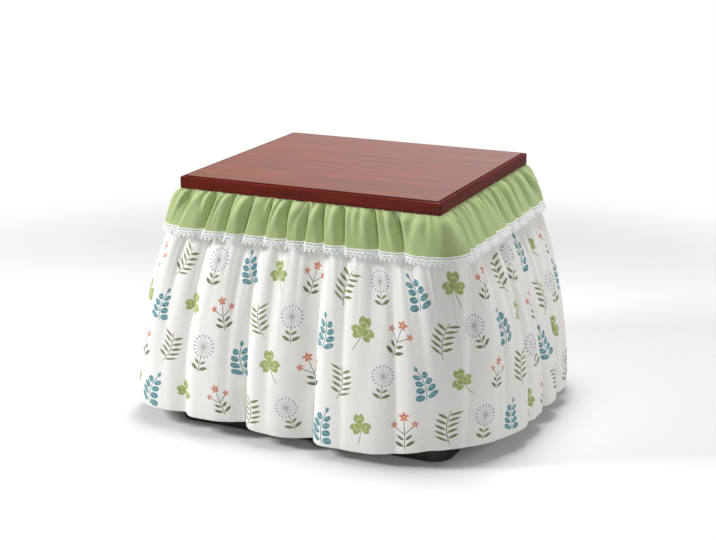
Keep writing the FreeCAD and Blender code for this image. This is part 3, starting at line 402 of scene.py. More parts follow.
@dataclass(frozen=True)
class Printed(Woven):
    """Off-white cotton with a print of scattered plants on a half-drop repeat.

    Five motifs take turns: a round-leaved sprig, a clover leaf, a sprig of blossoms, a branch of narrow
    leaves and a seed head. The ink sinks in a little, so its tone wavers by patches as wide as the wash.

    Motifs are drawn in millimetres in a cell, and the whole print is then enlarged by its size. By chance
    each motif is shifted by up to half of the shift each way, turned by up to half of the turn, in radians,
    and made smaller by a divisor between the two of shrink.
    """

    cell: tuple[float, float] = (76.0, 86.0)
    size: float = 1.62
    shift: float = 8.0
    shrink: tuple[float, float] = (1.03, 1.25)
    turn: float = 0.8
    wash: float = 1000 / 90 * MM
    ink_share: float = 0.94

    def ground(self, tree: bpy.types.NodeTree, place: bpy.types.NodeSocket) -> bpy.types.NodeSocket:
        """The bare cotton with every motif laid over it.

        Args:
            tree: The material's node tree.
            place: The point on the flat cloth, in metres.

        Returns:
            The printed colour.
        """
        bare = super().ground(tree, place)
        x, y, number = self.motif_place(tree, place)
        wash = add(tree, "TexNoise", None, {"Vector": place, "Scale": 1 / self.wash, "Detail": 4.0,
                                            "Roughness": 0.7})
        tint = maths(tree, "MULTIPLY_ADD", ("SUBTRACT", wash, 0.5), 3.0, 0.45, clamp=True)
        for index, layers in enumerate((self.sprig, self.clover, self.blossoms, self.branch, self.seed_head)):
            chosen = maths(tree, "COMPARE", number, float(index), 0.1)
            for ink, light, mask in layers(tree, x, y):
                colour = mixed(tree, tint, ink, light)
                bare = mixed(tree, ("MULTIPLY", every(mask, chosen), self.ink_share), bare, colour)
        return bare

    def motif_place(self, tree: bpy.types.NodeTree, place: bpy.types.NodeSocket) -> tuple:
        """Where a point lies in its motif, in millimetres, and which motif that is.

        Args:
            tree: The node tree.
            place: The point on the flat cloth, in metres.

        Returns:
            The place across the motif, the place up it and its number from zero.
        """
        parts = add(tree, "SeparateXYZ", None, {0: place})
        wide, high = self.cell
        scale = 1 / (self.size * MM)
        column_place = ("MULTIPLY", parts, scale / wide)
        row_place = maths(tree, "MULTIPLY", parts.node.outputs[1], scale / high)
        row = maths(tree, "FLOOR", row_place)
        dropped = maths(tree, "MULTIPLY_ADD", row, 0.5, column_place)
        column = maths(tree, "FLOOR", dropped)
        cell = add(tree, "CombineXYZ", None, {0: column, 1: row})
        chance = add(tree, "TexWhiteNoise", {"noise_dimensions": "2D"}, {"Vector": cell}, "Color")
        draws = add(tree, "SeparateXYZ", None, {0: chance})
        side = ("SIGN", ("SUBTRACT", chance.node.outputs["Value"], 0.5))
        local = add(tree, "CombineXYZ", None, {
            0: ("MULTIPLY", side, ("MULTIPLY_ADD", ("SUBTRACT", draws, 0.5), self.shift,
                                   ("MULTIPLY", ("SUBTRACT", ("FRACT", dropped), 0.5), wide))),
            1: ("MULTIPLY_ADD", ("SUBTRACT", draws.node.outputs[1], 0.5), self.shift,
                ("MULTIPLY", ("SUBTRACT", ("FRACT", row_place), 0.5), high)),
        })
        angle = ("MULTIPLY", ("SUBTRACT", draws.node.outputs[2], 0.5), self.turn)
        turned = add(tree, "VectorRotate", {"rotation_type": "Z_AXIS"}, {"Vector": local, "Angle": angle})
        least, most = self.shrink
        draw = ("FRACT", ("MULTIPLY", chance.node.outputs["Value"], 7.0))
        smaller = ("MULTIPLY_ADD", draw, most - least, least)
        grown = add(tree, "VectorMath", {"operation": "SCALE"}, {0: turned, "Scale": smaller})
        ends = add(tree, "SeparateXYZ", None, {0: grown})
        order = ("FLOORED_MODULO", ("MULTIPLY_ADD", row, 2.0, column), 5.0)
        number = maths(tree, "ROUND", order)
        return ends, ends.node.outputs[1], number

    def bent(self, tree: bpy.types.NodeTree, x: object, y: object, bend: float) -> bpy.types.NodeSocket:
        """How far a point lies from an upright stem that bows to one side."""
        return maths(tree, "MULTIPLY_ADD", ("POWER", y, 2.0), -bend, x)

    def between(self, value: object, low: float, high: float) -> Formula:
        """The mask of the values between two limits."""
        return "LESS_THAN", ("ABSOLUTE", ("SUBTRACT", value, (low + high) / 2)), (high - low) / 2

    def sprig(self, tree: bpy.types.NodeTree, x: object, y: object) -> list:
        """Pairs of round blue-green leaves along a bowed stem, smaller towards its tip.

        Args:
            tree: The material's node tree.
            x: The place across the motif, in millimetres.
            y: The place up the motif.

        Returns:
            Its layers from the back: two inks and the formula of their mask.
        """
        off = self.bent(tree, x, y, 0.006)
        taper = ("MULTIPLY_ADD", y, -0.008, 0.72)
        out = maths(tree, "DIVIDE", ("ABSOLUTE", off), taper)
        pitch = 15.0
        step = maths(tree, "WRAP", y, pitch / 2, -pitch / 2)
        grown = self.between(y, -2.5 * pitch, 1.5 * pitch)
        leaves = every(leaf(out, step, (14.5, 0.5), -68, 5.8, 12.0, 4.0), grown)
        tip = leaf(x, y, (5.6, 33.0), -8, 3.4, 6.5)
        stem = every(self.between(off, -0.7, 0.7), self.between(y, -40, 30))
        vein = every(self.between(step, -0.4, 0.9), self.between(out, 0.0, 20.0), grown)
        return [("#1C6473", "#6FAFB8", some(leaves, tip)), ("#17505B", "#2C7F8A", stem),
                ("#A8D2D4", "#7FBCC0", vein)]

    def clover(self, tree: bpy.types.NodeTree, x: object, y: object) -> list:
        """A clover leaf of three notched lobes with a pale band, on a thin stalk.

        Args:
            tree: The material's node tree.
            x: The place across the motif, in millimetres.
            y: The place up the motif.

        Returns:
            Its layers from the back: two inks and the formula of their mask.
        """
        high = maths(tree, "SUBTRACT", y, 8.0)
        radius = distance(tree, x, high)
        angle = ("MULTIPLY", ("ARCTAN2", x, high), 1.5)
        lobe = maths(tree, "ABSOLUTE", ("COSINE", angle))
        round_edge = ("MULTIPLY", ("POWER", lobe, 0.5), 28.0)
        edge = maths(tree, "MULTIPLY_ADD", ("POWER", lobe, 26.0), -6.0, round_edge)
        blade = ("LESS_THAN", radius, edge)
        band = every(blade, ("LESS_THAN", ("ABSOLUTE", ("MULTIPLY_ADD", edge, -0.55, radius)), 1.5))
        rays = ("ABSOLUTE", ("SINE", ("MULTIPLY", ("ARCTAN2", x, high), 15.0)))
        veins = every(blade, ("LESS_THAN", ("MULTIPLY", rays, radius), 3.4), ("GREATER_THAN", radius, 5.0))
        stalk = every(self.between(self.bent(tree, x, high, 0.006), -0.9, 0.9), self.between(high, -44, 0))
        return [("#6F8438", "#9DB25C", stalk), ("#879C46", "#BECB86", blade), ("#C9D59B", "#DCE4B8", band),
                ("#6F8434", "#93A850", veins)]

    def blossoms(self, tree: bpy.types.NodeTree, x: object, y: object) -> list:
        """Three coral blossoms of five petals over two pairs of dark leaves.

        Args:
            tree: The material's node tree.
            x: The place across the motif, in millimetres.
            y: The place up the motif.

        Returns:
            Its layers from the back: two inks and the formula of their mask.
        """
        out = maths(tree, "ABSOLUTE", x)
        layers = []
        stalk = every(self.between(x, -0.7, 0.7), self.between(y, -38, 22))
        arm = leaf(out, y, (9.5, 1.0), -48, 0.8, 15.0, 6.0)
        leaves = some(leaf(out, y, (10.5, -27.0), -58, 3.4, 10.5), leaf(out, y, (8.0, -14.0), -50, 2.8, 8.5))
        layers.append(("#46563A", "#66794A", some(stalk, arm, leaves)))
        for across, height, size in ((x, 28.0, 10.5), (("SUBTRACT", out, 20.0), 12.0, 7.5)):
            side = maths(tree, "ADD", across, 0.0)
            rise = maths(tree, "SUBTRACT", y, height)
            reach = distance(tree, side, rise)
            wave = ("COSINE", ("MULTIPLY", ("ARCTAN2", side, rise), 5.0))
            petals = ("LESS_THAN", reach, ("MULTIPLY_ADD", wave, 0.24 * size, 0.72 * size))
            heart = ("LESS_THAN", reach, 0.2 * size)
            layers += [("#C4573F", "#E39A84", petals), ("#F3E3B4", "#D9A441", heart)]
        return layers

    def branch(self, tree: bpy.types.NodeTree, x: object, y: object) -> list:
        """Narrow olive leaves on alternate sides of a bowed stem.

        Args:
            tree: The material's node tree.
            x: The place across the motif, in millimetres.
            y: The place up the motif.

        Returns:
            Its layers from the back: two inks and the formula of their mask.
        """
        off = self.bent(tree, x, y, -0.007)
        out = maths(tree, "ABSOLUTE", off)
        pitch = 12.0
        staggered = ("MULTIPLY_ADD", ("SIGN", off), pitch / 4, y)
        step = maths(tree, "WRAP", staggered, pitch / 2, -pitch / 2)
        grown = self.between(staggered, -2.5 * pitch, 2.5 * pitch)
        leaves = every(leaf(out, step, (12.0, 0.0), -66, 2.7, 13.0), grown)
        stem = every(self.between(off, -0.7, 0.7), self.between(y, -41, 32))
        return [("#5B6A3C", "#8A9A57", leaves), ("#6B5A42", "#8B7A5C", stem)]

    def seed_head(self, tree: bpy.types.NodeTree, x: object, y: object) -> list:
        """A round seed head in fine grey lines over two pairs of small leaves.

        Args:
            tree: The material's node tree.
            x: The place across the motif, in millimetres.
            y: The place up the motif.

        Returns:
            Its layers from the back: two inks and the formula of their mask.
        """
        high = maths(tree, "SUBTRACT", y, 15.0)
        radius = distance(tree, x, high)
        spoke = FULL_TURN / 18
        angle = ("WRAP", ("ARCTAN2", x, high), spoke / 2, -spoke / 2)
        across = maths(tree, "MULTIPLY", radius, angle)
        lines = every(("LESS_THAN", ("ABSOLUTE", across), 0.5), self.between(radius, 3.0, 21.0))
        dots = ("LESS_THAN", ("ADD", ("POWER", across, 2.0), ("POWER", ("SUBTRACT", radius, 22.5), 2.0)), 4.6)
        core = ("LESS_THAN", radius, 2.8)
        stalk = every(self.between(x, -0.6, 0.6), self.between(y, -40, 12))
        out = maths(tree, "ABSOLUTE", x)
        leaves = some(leaf(out, y, (10.0, -30.0), -62, 3.6, 10.5), leaf(out, y, (7.0, -18.0), -52, 2.6, 7.5))
        return [("#8F9298", "#C3C5C8", some(lines, dots, core)), ("#5E6B45", "#7E8C58", some(stalk, leaves))]


class Side(Enum):
    """The cover's four sides in order, seen from above against the clock."""

    FRONT = 0
    RIGHT = 1
    BACK = 2
    LEFT = 3


@dataclass(frozen=True)
class Fold:
    """A valley in hanging cloth and the crest after it.

    The place is a share of the side at the bottom, and the drift is how much further round the fold lies
    at the top. Depths and crest are shares of the fold depth. The fall is the share of the width before
    the valley that slopes down to it, and the rise the share after it that slopes up.
    """

    place: float
    depth_high: float
    depth_low: float
    crest: float = 0.75
    drift: float = 0.0
    fall: float = 0.50
    rise: float = 0.17


@dataclass
class Hanging:
    """Cloth that hangs round the table in folds, as a formula for the place of each of its points.

    A point is given by its place round the table, which counts one for each side and starts at the
    front left corner, and by how far down it lies as a share of the drop.

    Half is half the width and depth at the top, and flare is how much they grow down to the hem. The
    corners' radii are those at the top and, one for each corner, at the hem. The folds swing by the depth,
    which grows from high to low, and roll over to one side. Puckers are the small gathers at the top seam,
    and gathers the wider ones below them; each has a depth, a pitch as a share of a side and a reach as a
    share of the drop. Lean turns them askew, unrest bows the whole cloth, and lifts raise the hem, each at
    its place round the table.
    """

    half: tuple[float, float]
    top: float
    drop: float
    flare: tuple[float, float]
    corner_top: float
    corner_low: tuple[float, float, float, float]
    folds: dict[Side, tuple[Fold, ...]]
    depth_high: float
    depth_low: float
    depth_growth: float = 0.5
    softness: float = 0.006
    roll: float = 0.010
    pucker: float = 0.0
    pucker_pitch: float = 0.028
    pucker_reach: float = 0.35
    gather: float = 0.0
    gather_pitch: float = 0.083
    gather_reach: float = 0.8
    lean: float = 0.0
    unrest: float = 0.0
    lifts: tuple[tuple[float, float], ...] = ((0.0, 0.0),)
    seed: int = 7
    samples: int = 6000

    def __post_init__(self) -> None:
        """Works out the fold waves once for the whole round."""
        self.round = np.arange(self.samples) * 4 / self.samples
        found = sorted((side.value + f.place, f) for side, fs in self.folds.items() for f in fs)
        places = np.array([place for place, _ in found])
        crests, falls, rises, high, low, drifts = (
            np.array([getattr(f, key) for _, f in found])
            for key in ("crest", "fall", "rise", "depth_high", "depth_low", "drift")
        )
        self.wave_high = self.softened(self.ridges(places, high, crests, falls, rises), self.softness)
        self.wave_low = self.softened(self.ridges(places, low, crests, falls, rises), self.softness)
        self.drift = self.softened(np.interp(self.round, places, drifts, period=4), 0.03)
        chance = np.random.default_rng(self.seed)
        self.puckers = self.chance_ridges(chance, self.pucker_pitch)
        self.gathers = self.chance_ridges(chance, self.gather_pitch)
        self.waver = chance.uniform(0, FULL_TURN, 12)
        self.waver_size = chance.uniform(0.3, 1.0, 12)
        drifts = self.softened(chance.normal(size=self.samples), 0.035)
        self.leans = self.lean * drifts / drifts.std()

    def chance_ridges(self, chance: np.random.Generator, pitch: float) -> Array:
        """Uneven ridges with sharp valleys between them, about one for each pitch of a side.

        Args:
            chance: Where the places and depths are drawn from.
            pitch: The mean distance of the ridges as a share of a side.

        Returns:
            One value for each sample round the table.
        """
        count = round(4 / pitch)
        places = (np.arange(count) + chance.uniform(-0.33, 0.33, count)) * 4 / count
        depths, even = chance.uniform(0.25, 1.0, count), np.ones(count)
        ridges = self.ridges(places, depths, 0.45 * even, 0.5 * even, 0.3 * even)
        return self.softened(ridges, 0.1 * pitch)

    def ridges(self, places: Array, depths: Array, crests: Array, falls: Array, rises: Array) -> Array:
        """Broad crests between sharp valleys, sampled round the table.

        Args:
            places: Where the valleys lie, in rising order.
            depths: How deep each valley is.
            crests: How high the crest after each valley stands.
            falls: Share of the width before each valley that falls to it.
            rises: Share of the width after each valley that rises from it.

        Returns:
            One value for each sample.
        """
        after = np.searchsorted(places, self.round, side="right") % len(places)
        before = (after - 1) % len(places)
        width = (places[after] - places[before]) % 4
        share = ((self.round - places[before]) % 4) / width
        rise = 1 - (1 - np.clip(share / rises[before], 0, 1)) ** 2
        fall = 1 - (1 - np.clip((1 - share) / falls[after], 0, 1)) ** 2
        valley = depths[before] * (1 - share) + depths[after] * share
        return (crests[before] + valley) * rise * fall - valley

    def softened(self, wave: Array, softness: float) -> Array:
        """A wave round the table with its creases rounded over a share of a side.

        Args:
            wave: One value for each sample.
            softness: The share of a side over which a crease is rounded.

        Returns:
            One value for each sample.
        """
        steps = np.minimum(self.round, 4 - self.round) / softness
        kernel = np.exp(-(steps**2) / 2)
        return np.real(np.fft.ifft(np.fft.fft(wave) * np.fft.fft(kernel / kernel.sum())))

    def at(self, place: Array, fallen: Array) -> tuple[Array, Array]:
        """The points of the cloth and the way out at each.

        Args:
            place: Places round the table, from 0 to 4.
            fallen: Shares of the drop, of the same shape.

        Returns:
            The points and the level directions outward, each with a last axis of three.
        """
        place, fallen = np.broadcast_arrays(place, fallen)
        down = np.clip(fallen, 0, None)
        flare = self.spread(down)
        step = 4 / self.samples
        waves = (self.wave_high, self.wave_low)
        folded = place - (1 - np.minimum(down, 1)) * np.interp(place, self.round, self.drift, period=4)
        high, low = (np.interp(folded, self.round, wave, period=4) for wave in waves)
        slope_high, slope_low = (np.interp(folded, self.round, np.gradient(w, step), period=4) for w in waves)
        wave = high * (1 - down) + low * down
        slope = slope_high * (1 - down) + slope_low * down
        depth = self.depth_high + (self.depth_low - self.depth_high) * self.swell(down)
        leant = down * np.interp(place, self.round, self.leans, period=4)
        fine = self.pucker * np.interp(place + leant, self.round, self.puckers, period=4)
        fine = fine * np.exp(-((down / self.pucker_reach) ** 2))
        middling = self.gather * np.interp(folded + leant, self.round, self.gathers, period=4)
        middling = middling * np.minimum(down * 5, 1) * np.exp(-((down / self.gather_reach) ** 2))
        waver = sum(
            size * np.cos((1 + k % 5) * math.pi * place + phase + (k - 5) * down)
            for k, (phase, size) in enumerate(zip(self.waver, self.waver_size))
        ) / len(self.waver)
        out = depth * wave + fine + middling + self.unrest * waver * np.minimum(down * 2, 1)
        along = -self.roll * slope * depth
        base, outward = self.rim(place, flare)
        tangent = np.stack([-outward[..., 1], outward[..., 0], 0 * place], axis=-1)
        points = base + outward * out[..., None] + tangent * along[..., None]
        lift = np.interp(place, *zip(*self.lifts), period=4)
        points[..., 2] = self.top - self.drop * fallen + lift * down**2
        return points, outward

    def spread(self, down: Array) -> Array:
        """How far the cloth has spread from its top, as a share of its flare."""
        free = 1 - 0.7 * np.exp(-((down / 0.13) ** 2))
        return free * np.sin(math.pi / 2 * np.clip(down, 0, 1) ** 0.9)

    def swell(self, down: Array) -> Array:
        """How deep the folds have become, as a share of the way from the high to the low depth."""
        return np.minimum(down, 1) ** self.depth_growth

    def rim(self, place: Array, flare: Array) -> tuple[Array, Array]:
        """The rounded rectangle that the cloth's folds swing about.

        Args:
            place: Places round the table.
            flare: How far the cloth has spread there, as a share of its flare.

        Returns:
            The points in plan with a height of zero, and the way out at each.
        """
        turn = np.floor(place).astype(int) % 4
        share = place - np.floor(place)
        half_x, half_y = (h + f * flare for h, f in zip(self.half, self.flare))
        along = np.where(turn % 2 == 0, half_x, half_y)
        out = np.where(turn % 2 == 0, half_y, half_x)
        low = np.array(self.corner_low)
        first, last = (self.corner_top + (low[t % 4] - self.corner_top) * flare for t in (turn, turn + 1))
        first_arc, last_arc = first * math.pi / 4, last * math.pi / 4
        length = share * (first_arc + 2 * along - first - last + last_arc)
        past = length - first_arc - (2 * along - first - last)
        last_turn = np.where(past > 0, past / last, 0.0)
        angle = np.where(length < first_arc, (length - first_arc) / first, last_turn)
        radius = np.where(past > 0, last, first)
        straight = first - along + length - first_arc
        x = np.where(length < first_arc, first - along, np.where(past > 0, along - last, straight))
        x = x + np.sin(angle) * radius * ((length < first_arc) | (past > 0))
        y = -out + radius * (1 - np.cos(angle))
        cosine, sine = np.cos(turn * math.pi / 2), np.sin(turn * math.pi / 2)
        outs = np.stack([np.sin(angle) * cosine + np.cos(angle) * sine,
                         np.sin(angle) * sine - np.cos(angle) * cosine, 0 * place], axis=-1)
        return np.stack([x * cosine - y * sine, x * sine + y * cosine, 0 * place], axis=-1), outs


class Valance(Hanging):
    """Short stiff cloth, which spreads almost evenly and further on past its own drop."""

    def spread(self, down: Array) -> Array:
        """How far the cloth has spread, as a share of its flare; its first rows are tucked in."""
        return 0.86 * down**0.95 - 0.08 * np.exp(-((down / 0.06) ** 2))

    def swell(self, down: Array) -> Array:
        """Deepest a third of the way down; the lace along the lower edge keeps it flatter."""
        return 2.8 * down**0.6 * np.maximum(1 - 0.88 * down, 0.15)


def mesh_piece(name: str, points: Array, faces: Array, cloth: Array, finish: Finish) -> bpy.types.Object:
    """Makes a piece from points, faces and the place of each point on the flat cloth.

    Args:
        name: The piece's name.
        points: Its points, one row of three each.
        faces: Indices of four points each.
        cloth: The place of each point on the flat cloth, in metres, one row of two for each corner of
            each face in turn.
        finish: Its finish.

    Returns:
        The new object, shaded smooth.
    """
    mesh = bpy.data.meshes.new(name)
    mesh.from_pydata(points.reshape(-1, 3), [], faces.tolist())
    layer = mesh.uv_layers.new(name="cloth")
    layer.data.foreach_set("uv", cloth.reshape(-1).astype(np.float32))
    mesh.polygons.foreach_set("use_smooth", [True] * len(mesh.polygons))
    mesh.materials.append(finish.make())
    piece = bpy.data.objects.new(name, mesh)
    bpy.context.scene.collection.objects.link(piece)
    return piece


def select_only(piece: bpy.types.Object) -> None:
    """Makes a piece the active one and the only one selected."""
    bpy.ops.object.select_all(action="DESELECT")
    bpy.context.view_layer.objects.active = piece
    piece.select_set(True)


def thicken(piece: bpy.types.Object, thickness: float) -> None:
    """Gives a sheet its thickness on the inside and closes its rim.

    Args:
        piece: The sheet, whose faces point outward.
        thickness: How thick it gets, in metres.
    """
    select_only(piece)
    bpy.ops.object.modifier_add(type="SOLIDIFY")
    solidify = piece.modifiers[-1]
    solidify.thickness, solidify.offset = thickness, -1.0
    bpy.ops.object.modifier_apply(modifier=solidify.name)
    piece.select_set(False)


def grid_faces(rows: int, columns: int, closed: bool) -> Array:
    """Faces of four points of a grid that runs down its rows and round its columns.

    Args:
        rows: How many rows of points.
        columns: How many points in a row.
        closed: Whether the last column joins the first.

    Returns:
        One row of four indices for each face, which points outward.
    """
    across = columns if closed else columns - 1
    row, column = np.meshgrid(np.arange(rows - 1), np.arange(across), indexing="ij")
    right = (column + 1) % columns
    corners = [(row, column), (row + 1, column), (row + 1, right), (row, right)]
    return np.stack([r * columns + c for r, c in corners], axis=-1).reshape(-1, 4)


@dataclass
class Cover:
    """The cloth cover: quilt, heading band, skirt in four panels, frill and lace.

    Side lengths are the widths that the front, right, back and left cloths were cut to. The frill's rows
    crowd towards its gathered top by the power frill_crowding.
    """

    skirt_thickness: float = 1.6 * MM
    frill_thickness: float = 1.0 * MM
    frill_gap: float = 1.5 * MM
    side_lengths: tuple[float, float, float, float] = (1.10, 0.86, 1.10, 0.86)
    skirt_length: float = 0.70
    hem_turn: float = 4 * MM
    hem_turn_steps: int = 8
    hem_fold: float = 14 * MM
    hem_fold_steps: int = 3
    skirt_columns: int = 232
    skirt_rows: int = 96
    frill_columns: int = 1400
    frill_rows: int = 34
    frill_crowding: float = 1.3
    frill_seam: float = 4 * MM
    lace_round: float = 3.45
    lace_pitch: float = 13.5 * MM
    lace_drop: float = 26 * MM
    lace_overlap: float = 7 * MM
    lace_stand_off: float = 1.1 * MM
    lace_thickness: float = 0.9 * MM
    lace_merge: float = 0.02 * MM
    band_wall: float = 5.4 * MM
    band_corner: float = 14 * MM
    band_play: float = 0.3 * MM
    band_steps: int = 28
    band_columns: int = 480
    quilt_inset: float = 1.0 * MM
    quilt_pitch: float = 88 * MM
    quilt_columns: int = 220
    quilt_rows: int = 200
    skirt: Hanging = field(init=False)
    frill: Hanging = field(init=False)

    def __post_init__(self) -> None:
        """Sets how the skirt and the frill hang."""
        skirt_folds = {
            Side.FRONT: (
                Fold(0.165, 0.70, 0.35, 0.80), Fold(0.358, 1.00, 1.00, 0.85),
                Fold(0.567, 1.00, 1.00, 0.90, drift=0.035), Fold(0.820, 0.80, -0.30, fall=0.3, rise=0.2),
            ),
            Side.RIGHT: (
                Fold(0.180, 1.10, -0.60, 0.80, drift=0.08, fall=0.12, rise=0.45),
                Fold(0.340, 0.90, -0.45, 0.90, drift=0.08, fall=0.12, rise=0.45),
                Fold(0.510, 1.30, 1.20, 1.00, drift=0.05, fall=0.12, rise=0.45),
                Fold(0.680, 0.90, 0.60, 0.80, drift=0.06, fall=0.12, rise=0.45),
                Fold(0.830, 1.10, 1.10, 0.90, drift=0.07, fall=0.12, rise=0.45),
            ),
            Side.BACK: (
                Fold(0.070, 0.45, 0.50), Fold(0.260, 0.90, 0.95, 0.85), Fold(0.480, 0.90, 0.80),
                Fold(0.680, 1.00, 1.00, 0.85), Fold(0.890, 0.80, 0.60),
            ),
            Side.LEFT: (
                Fold(0.110, 0.55, 0.45), Fold(0.320, 0.95, 0.95), Fold(0.560, 0.80, 0.75, 0.85),
                Fold(0.780, 1.00, 0.90),
            ),
        }
        hem_lifts = ((0.0, 18 * MM), (0.33, 18 * MM), (0.42, 6 * MM), (0.59, 0.0), (0.75, 0.0),
                     (0.83, 6 * MM), (0.91, 19 * MM), (1.4, 18 * MM), (2.2, 14 * MM), (2.6, 8 * MM),
                     (3.2, 14 * MM))
        long_side = ((0.060, 0.40), (0.155, 0.90), (0.235, 0.80), (0.300, 1.00), (0.375, 0.75),
                     (0.450, 1.00), (0.515, 0.60), (0.580, 0.95), (0.650, 1.00), (0.765, 1.00),
                     (0.850, 0.90))
        short_side = ((0.120, 1.00), (0.175, 0.60), (0.280, 0.80), (0.385, 1.00), (0.520, 0.95),
                      (0.610, 0.65), (0.690, 1.00), (0.800, 0.90), (0.900, 0.70))
        frill_folds = {
            side: tuple(self.frill_fold(side, index, place, depth)
                        for index, (place, depth) in enumerate(short_side if side.value % 2 else long_side))
            for side in Side
        }
        self.skirt = Hanging(
            half=(0.39086, 0.35086), top=0.7037, drop=0.6655, flare=(0.170, 0.084),
            corner_top=0.012, corner_low=(0.160, 0.345, 0.200, 0.200), folds=skirt_folds,
            roll=0.004, depth_high=2.0 * MM, depth_low=28 * MM, depth_growth=0.7, pucker=3.5 * MM,
            pucker_reach=0.42, gather=17.0 * MM, gather_pitch=0.105, gather_reach=0.80, lean=0.02,
            unrest=4 * MM, lifts=hem_lifts, seed=11,
        )
        self.frill = Valance(
            half=(0.3985, 0.3605), top=0.7085, drop=0.110, flare=(0.0800, 0.0460),
            corner_top=0.014, corner_low=(0.110, 0.110, 0.110, 0.110), folds=frill_folds,
            depth_high=4.0 * MM, depth_low=20.0 * MM, softness=0.0026, roll=0.0003, pucker=12.0 * MM,
            pucker_pitch=0.038, pucker_reach=0.48, gather=9.0 * MM, gather_pitch=0.066, gather_reach=0.70,
            lean=0.026, unrest=3 * MM, seed=5,
        )

    def frill_fold(self, side: Side, index: int, place: float, depth: float) -> Fold:
        """One fold of the frill: full crests on the long sides, and low steep ones on the short sides.

        Args:
            side: The side that it hangs on.
            index: Its number along the side, which varies its crest and its drift.
            place: Its place along the side.
            depth: Its depth as a share of the fold depth.

        Returns:
            The fold.
        """
        drift = 0.016 * math.sin(2.4 * index)
        if side.value % 2:
            return Fold(place, 1.3, 1.25 * depth, 0.15 + 0.15 * (index % 3), drift, fall=0.14, rise=0.36)
        crest = 0.50 + 0.18 * (index % 3)
        return Fold(place, min(1.0, depth + 0.25), depth, crest, drift, fall=0.46, rise=0.15)

    def build(self) -> list[bpy.types.Object]:
        """Builds every piece of the cover.

        Returns:
            The new pieces.
        """
        band = self.make_band()
        quilt = self.make_quilt()
        panels = [self.make_panel(side) for side in Side]
        frill = self.make_frill()
        lace = self.make_lace()
        return [band, quilt, *panels, frill, lace]

    def make_panel(self, side: Side) -> bpy.types.Object:
        """One side of the printed skirt, with its hem turned under.

        Args:
            side: Which side.

        Returns:
            The new piece.
        """
        turn = side.value
        columns = np.linspace(turn, turn + 1, self.skirt_columns)
        inside = np.nextafter(turn + 1.0, turn)
        columns[-1] = inside
        fallen = np.linspace(0, 1, self.skirt_rows)
        place, down = np.meshgrid(columns, fallen)
        points, outward = self.skirt.at(place, down)
        rows, used = [points], list(fallen * self.skirt_length)
        for step in range(1, self.hem_turn_steps + 1):
            angle = math.pi * step / self.hem_turn_steps
            back = -self.hem_turn * (1 - math.cos(angle)) * outward[-1]
            rows.append((points[-1] + back - [0, 0, self.hem_turn * math.sin(angle)])[None])
            used.append(self.skirt_length + self.hem_turn * angle)
        turned, turned_length = rows[-1][0], used[-1]
        for step in range(1, self.hem_fold_steps + 1):
            rise = self.hem_fold * step / self.hem_fold_steps
            rows.append((turned + [0, 0, rise])[None])
            used.append(turned_length + rise)
        points = np.concatenate(rows)
        before = sum(self.side_lengths[:turn])
        across = before + np.linspace(0, 1, self.skirt_columns) * self.side_lengths[turn]
        cloth = np.stack(np.meshgrid(across, self.skirt_length - np.array(used)), axis=-1)
        faces = grid_faces(len(used), self.skirt_columns, False)
        name = side.name.lower() + "_skirt_cloth"
        piece = mesh_piece(name, points, faces, cloth.reshape(-1, 2)[faces], SKIRT_COTTON)
        thicken(piece, self.skirt_thickness)
        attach(piece, "frame")
        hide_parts("skirt_" + side.name.lower())
        return piece

    def over_skirt(self, place: Array, fallen: Array) -> tuple[Array, Array]:
        """The frill's points and the ways out, pushed out where it would sink into the skirt behind it.

        Args:
            place: Places round the table, from 0 to 4.
            fallen: Shares of the frill's drop, of the same shape.

        Returns:
            The points and the level directions outward.
        """
        points, outward = self.frill.at(place, fallen)
        skirt, _ = self.skirt.at(place, (self.skirt.top - points[..., 2]).clip(0) / self.skirt.drop)
        gap = ((points - skirt) * outward).sum(axis=-1) - self.frill_gap
        push = self.frill_gap * np.logaddexp(0, -gap / self.frill_gap)
        return points + outward * push[..., None], outward

    def make_frill(self) -> bpy.types.Object:
        """The green frill, one closed strip gathered under the table top.

        Returns:
            The new piece.
        """
        columns = np.arange(self.frill_columns) * 4 / self.frill_columns
        fallen = np.linspace(0, 1, self.frill_rows) ** self.frill_crowding
        place, down = np.meshgrid(columns, fallen)
        points, _ = self.over_skirt(place, down)
        faces = grid_faces(self.frill_rows, self.frill_columns, True)
        round_cloth = sum(self.side_lengths)
        across = np.append(columns, 4.0) * round_cloth / 4
        cloth = np.stack(np.meshgrid(across, -fallen * self.frill.drop), axis=-1)
        corner_faces = grid_faces(self.frill_rows, self.frill_columns + 1, False)
        piece = mesh_piece("frill_cloth", points, faces, cloth.reshape(-1, 2)[corner_faces], FRILL_COTTON)
        thicken(piece, self.frill_thickness)
        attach(piece, "frame")
        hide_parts("frill")
        return piece

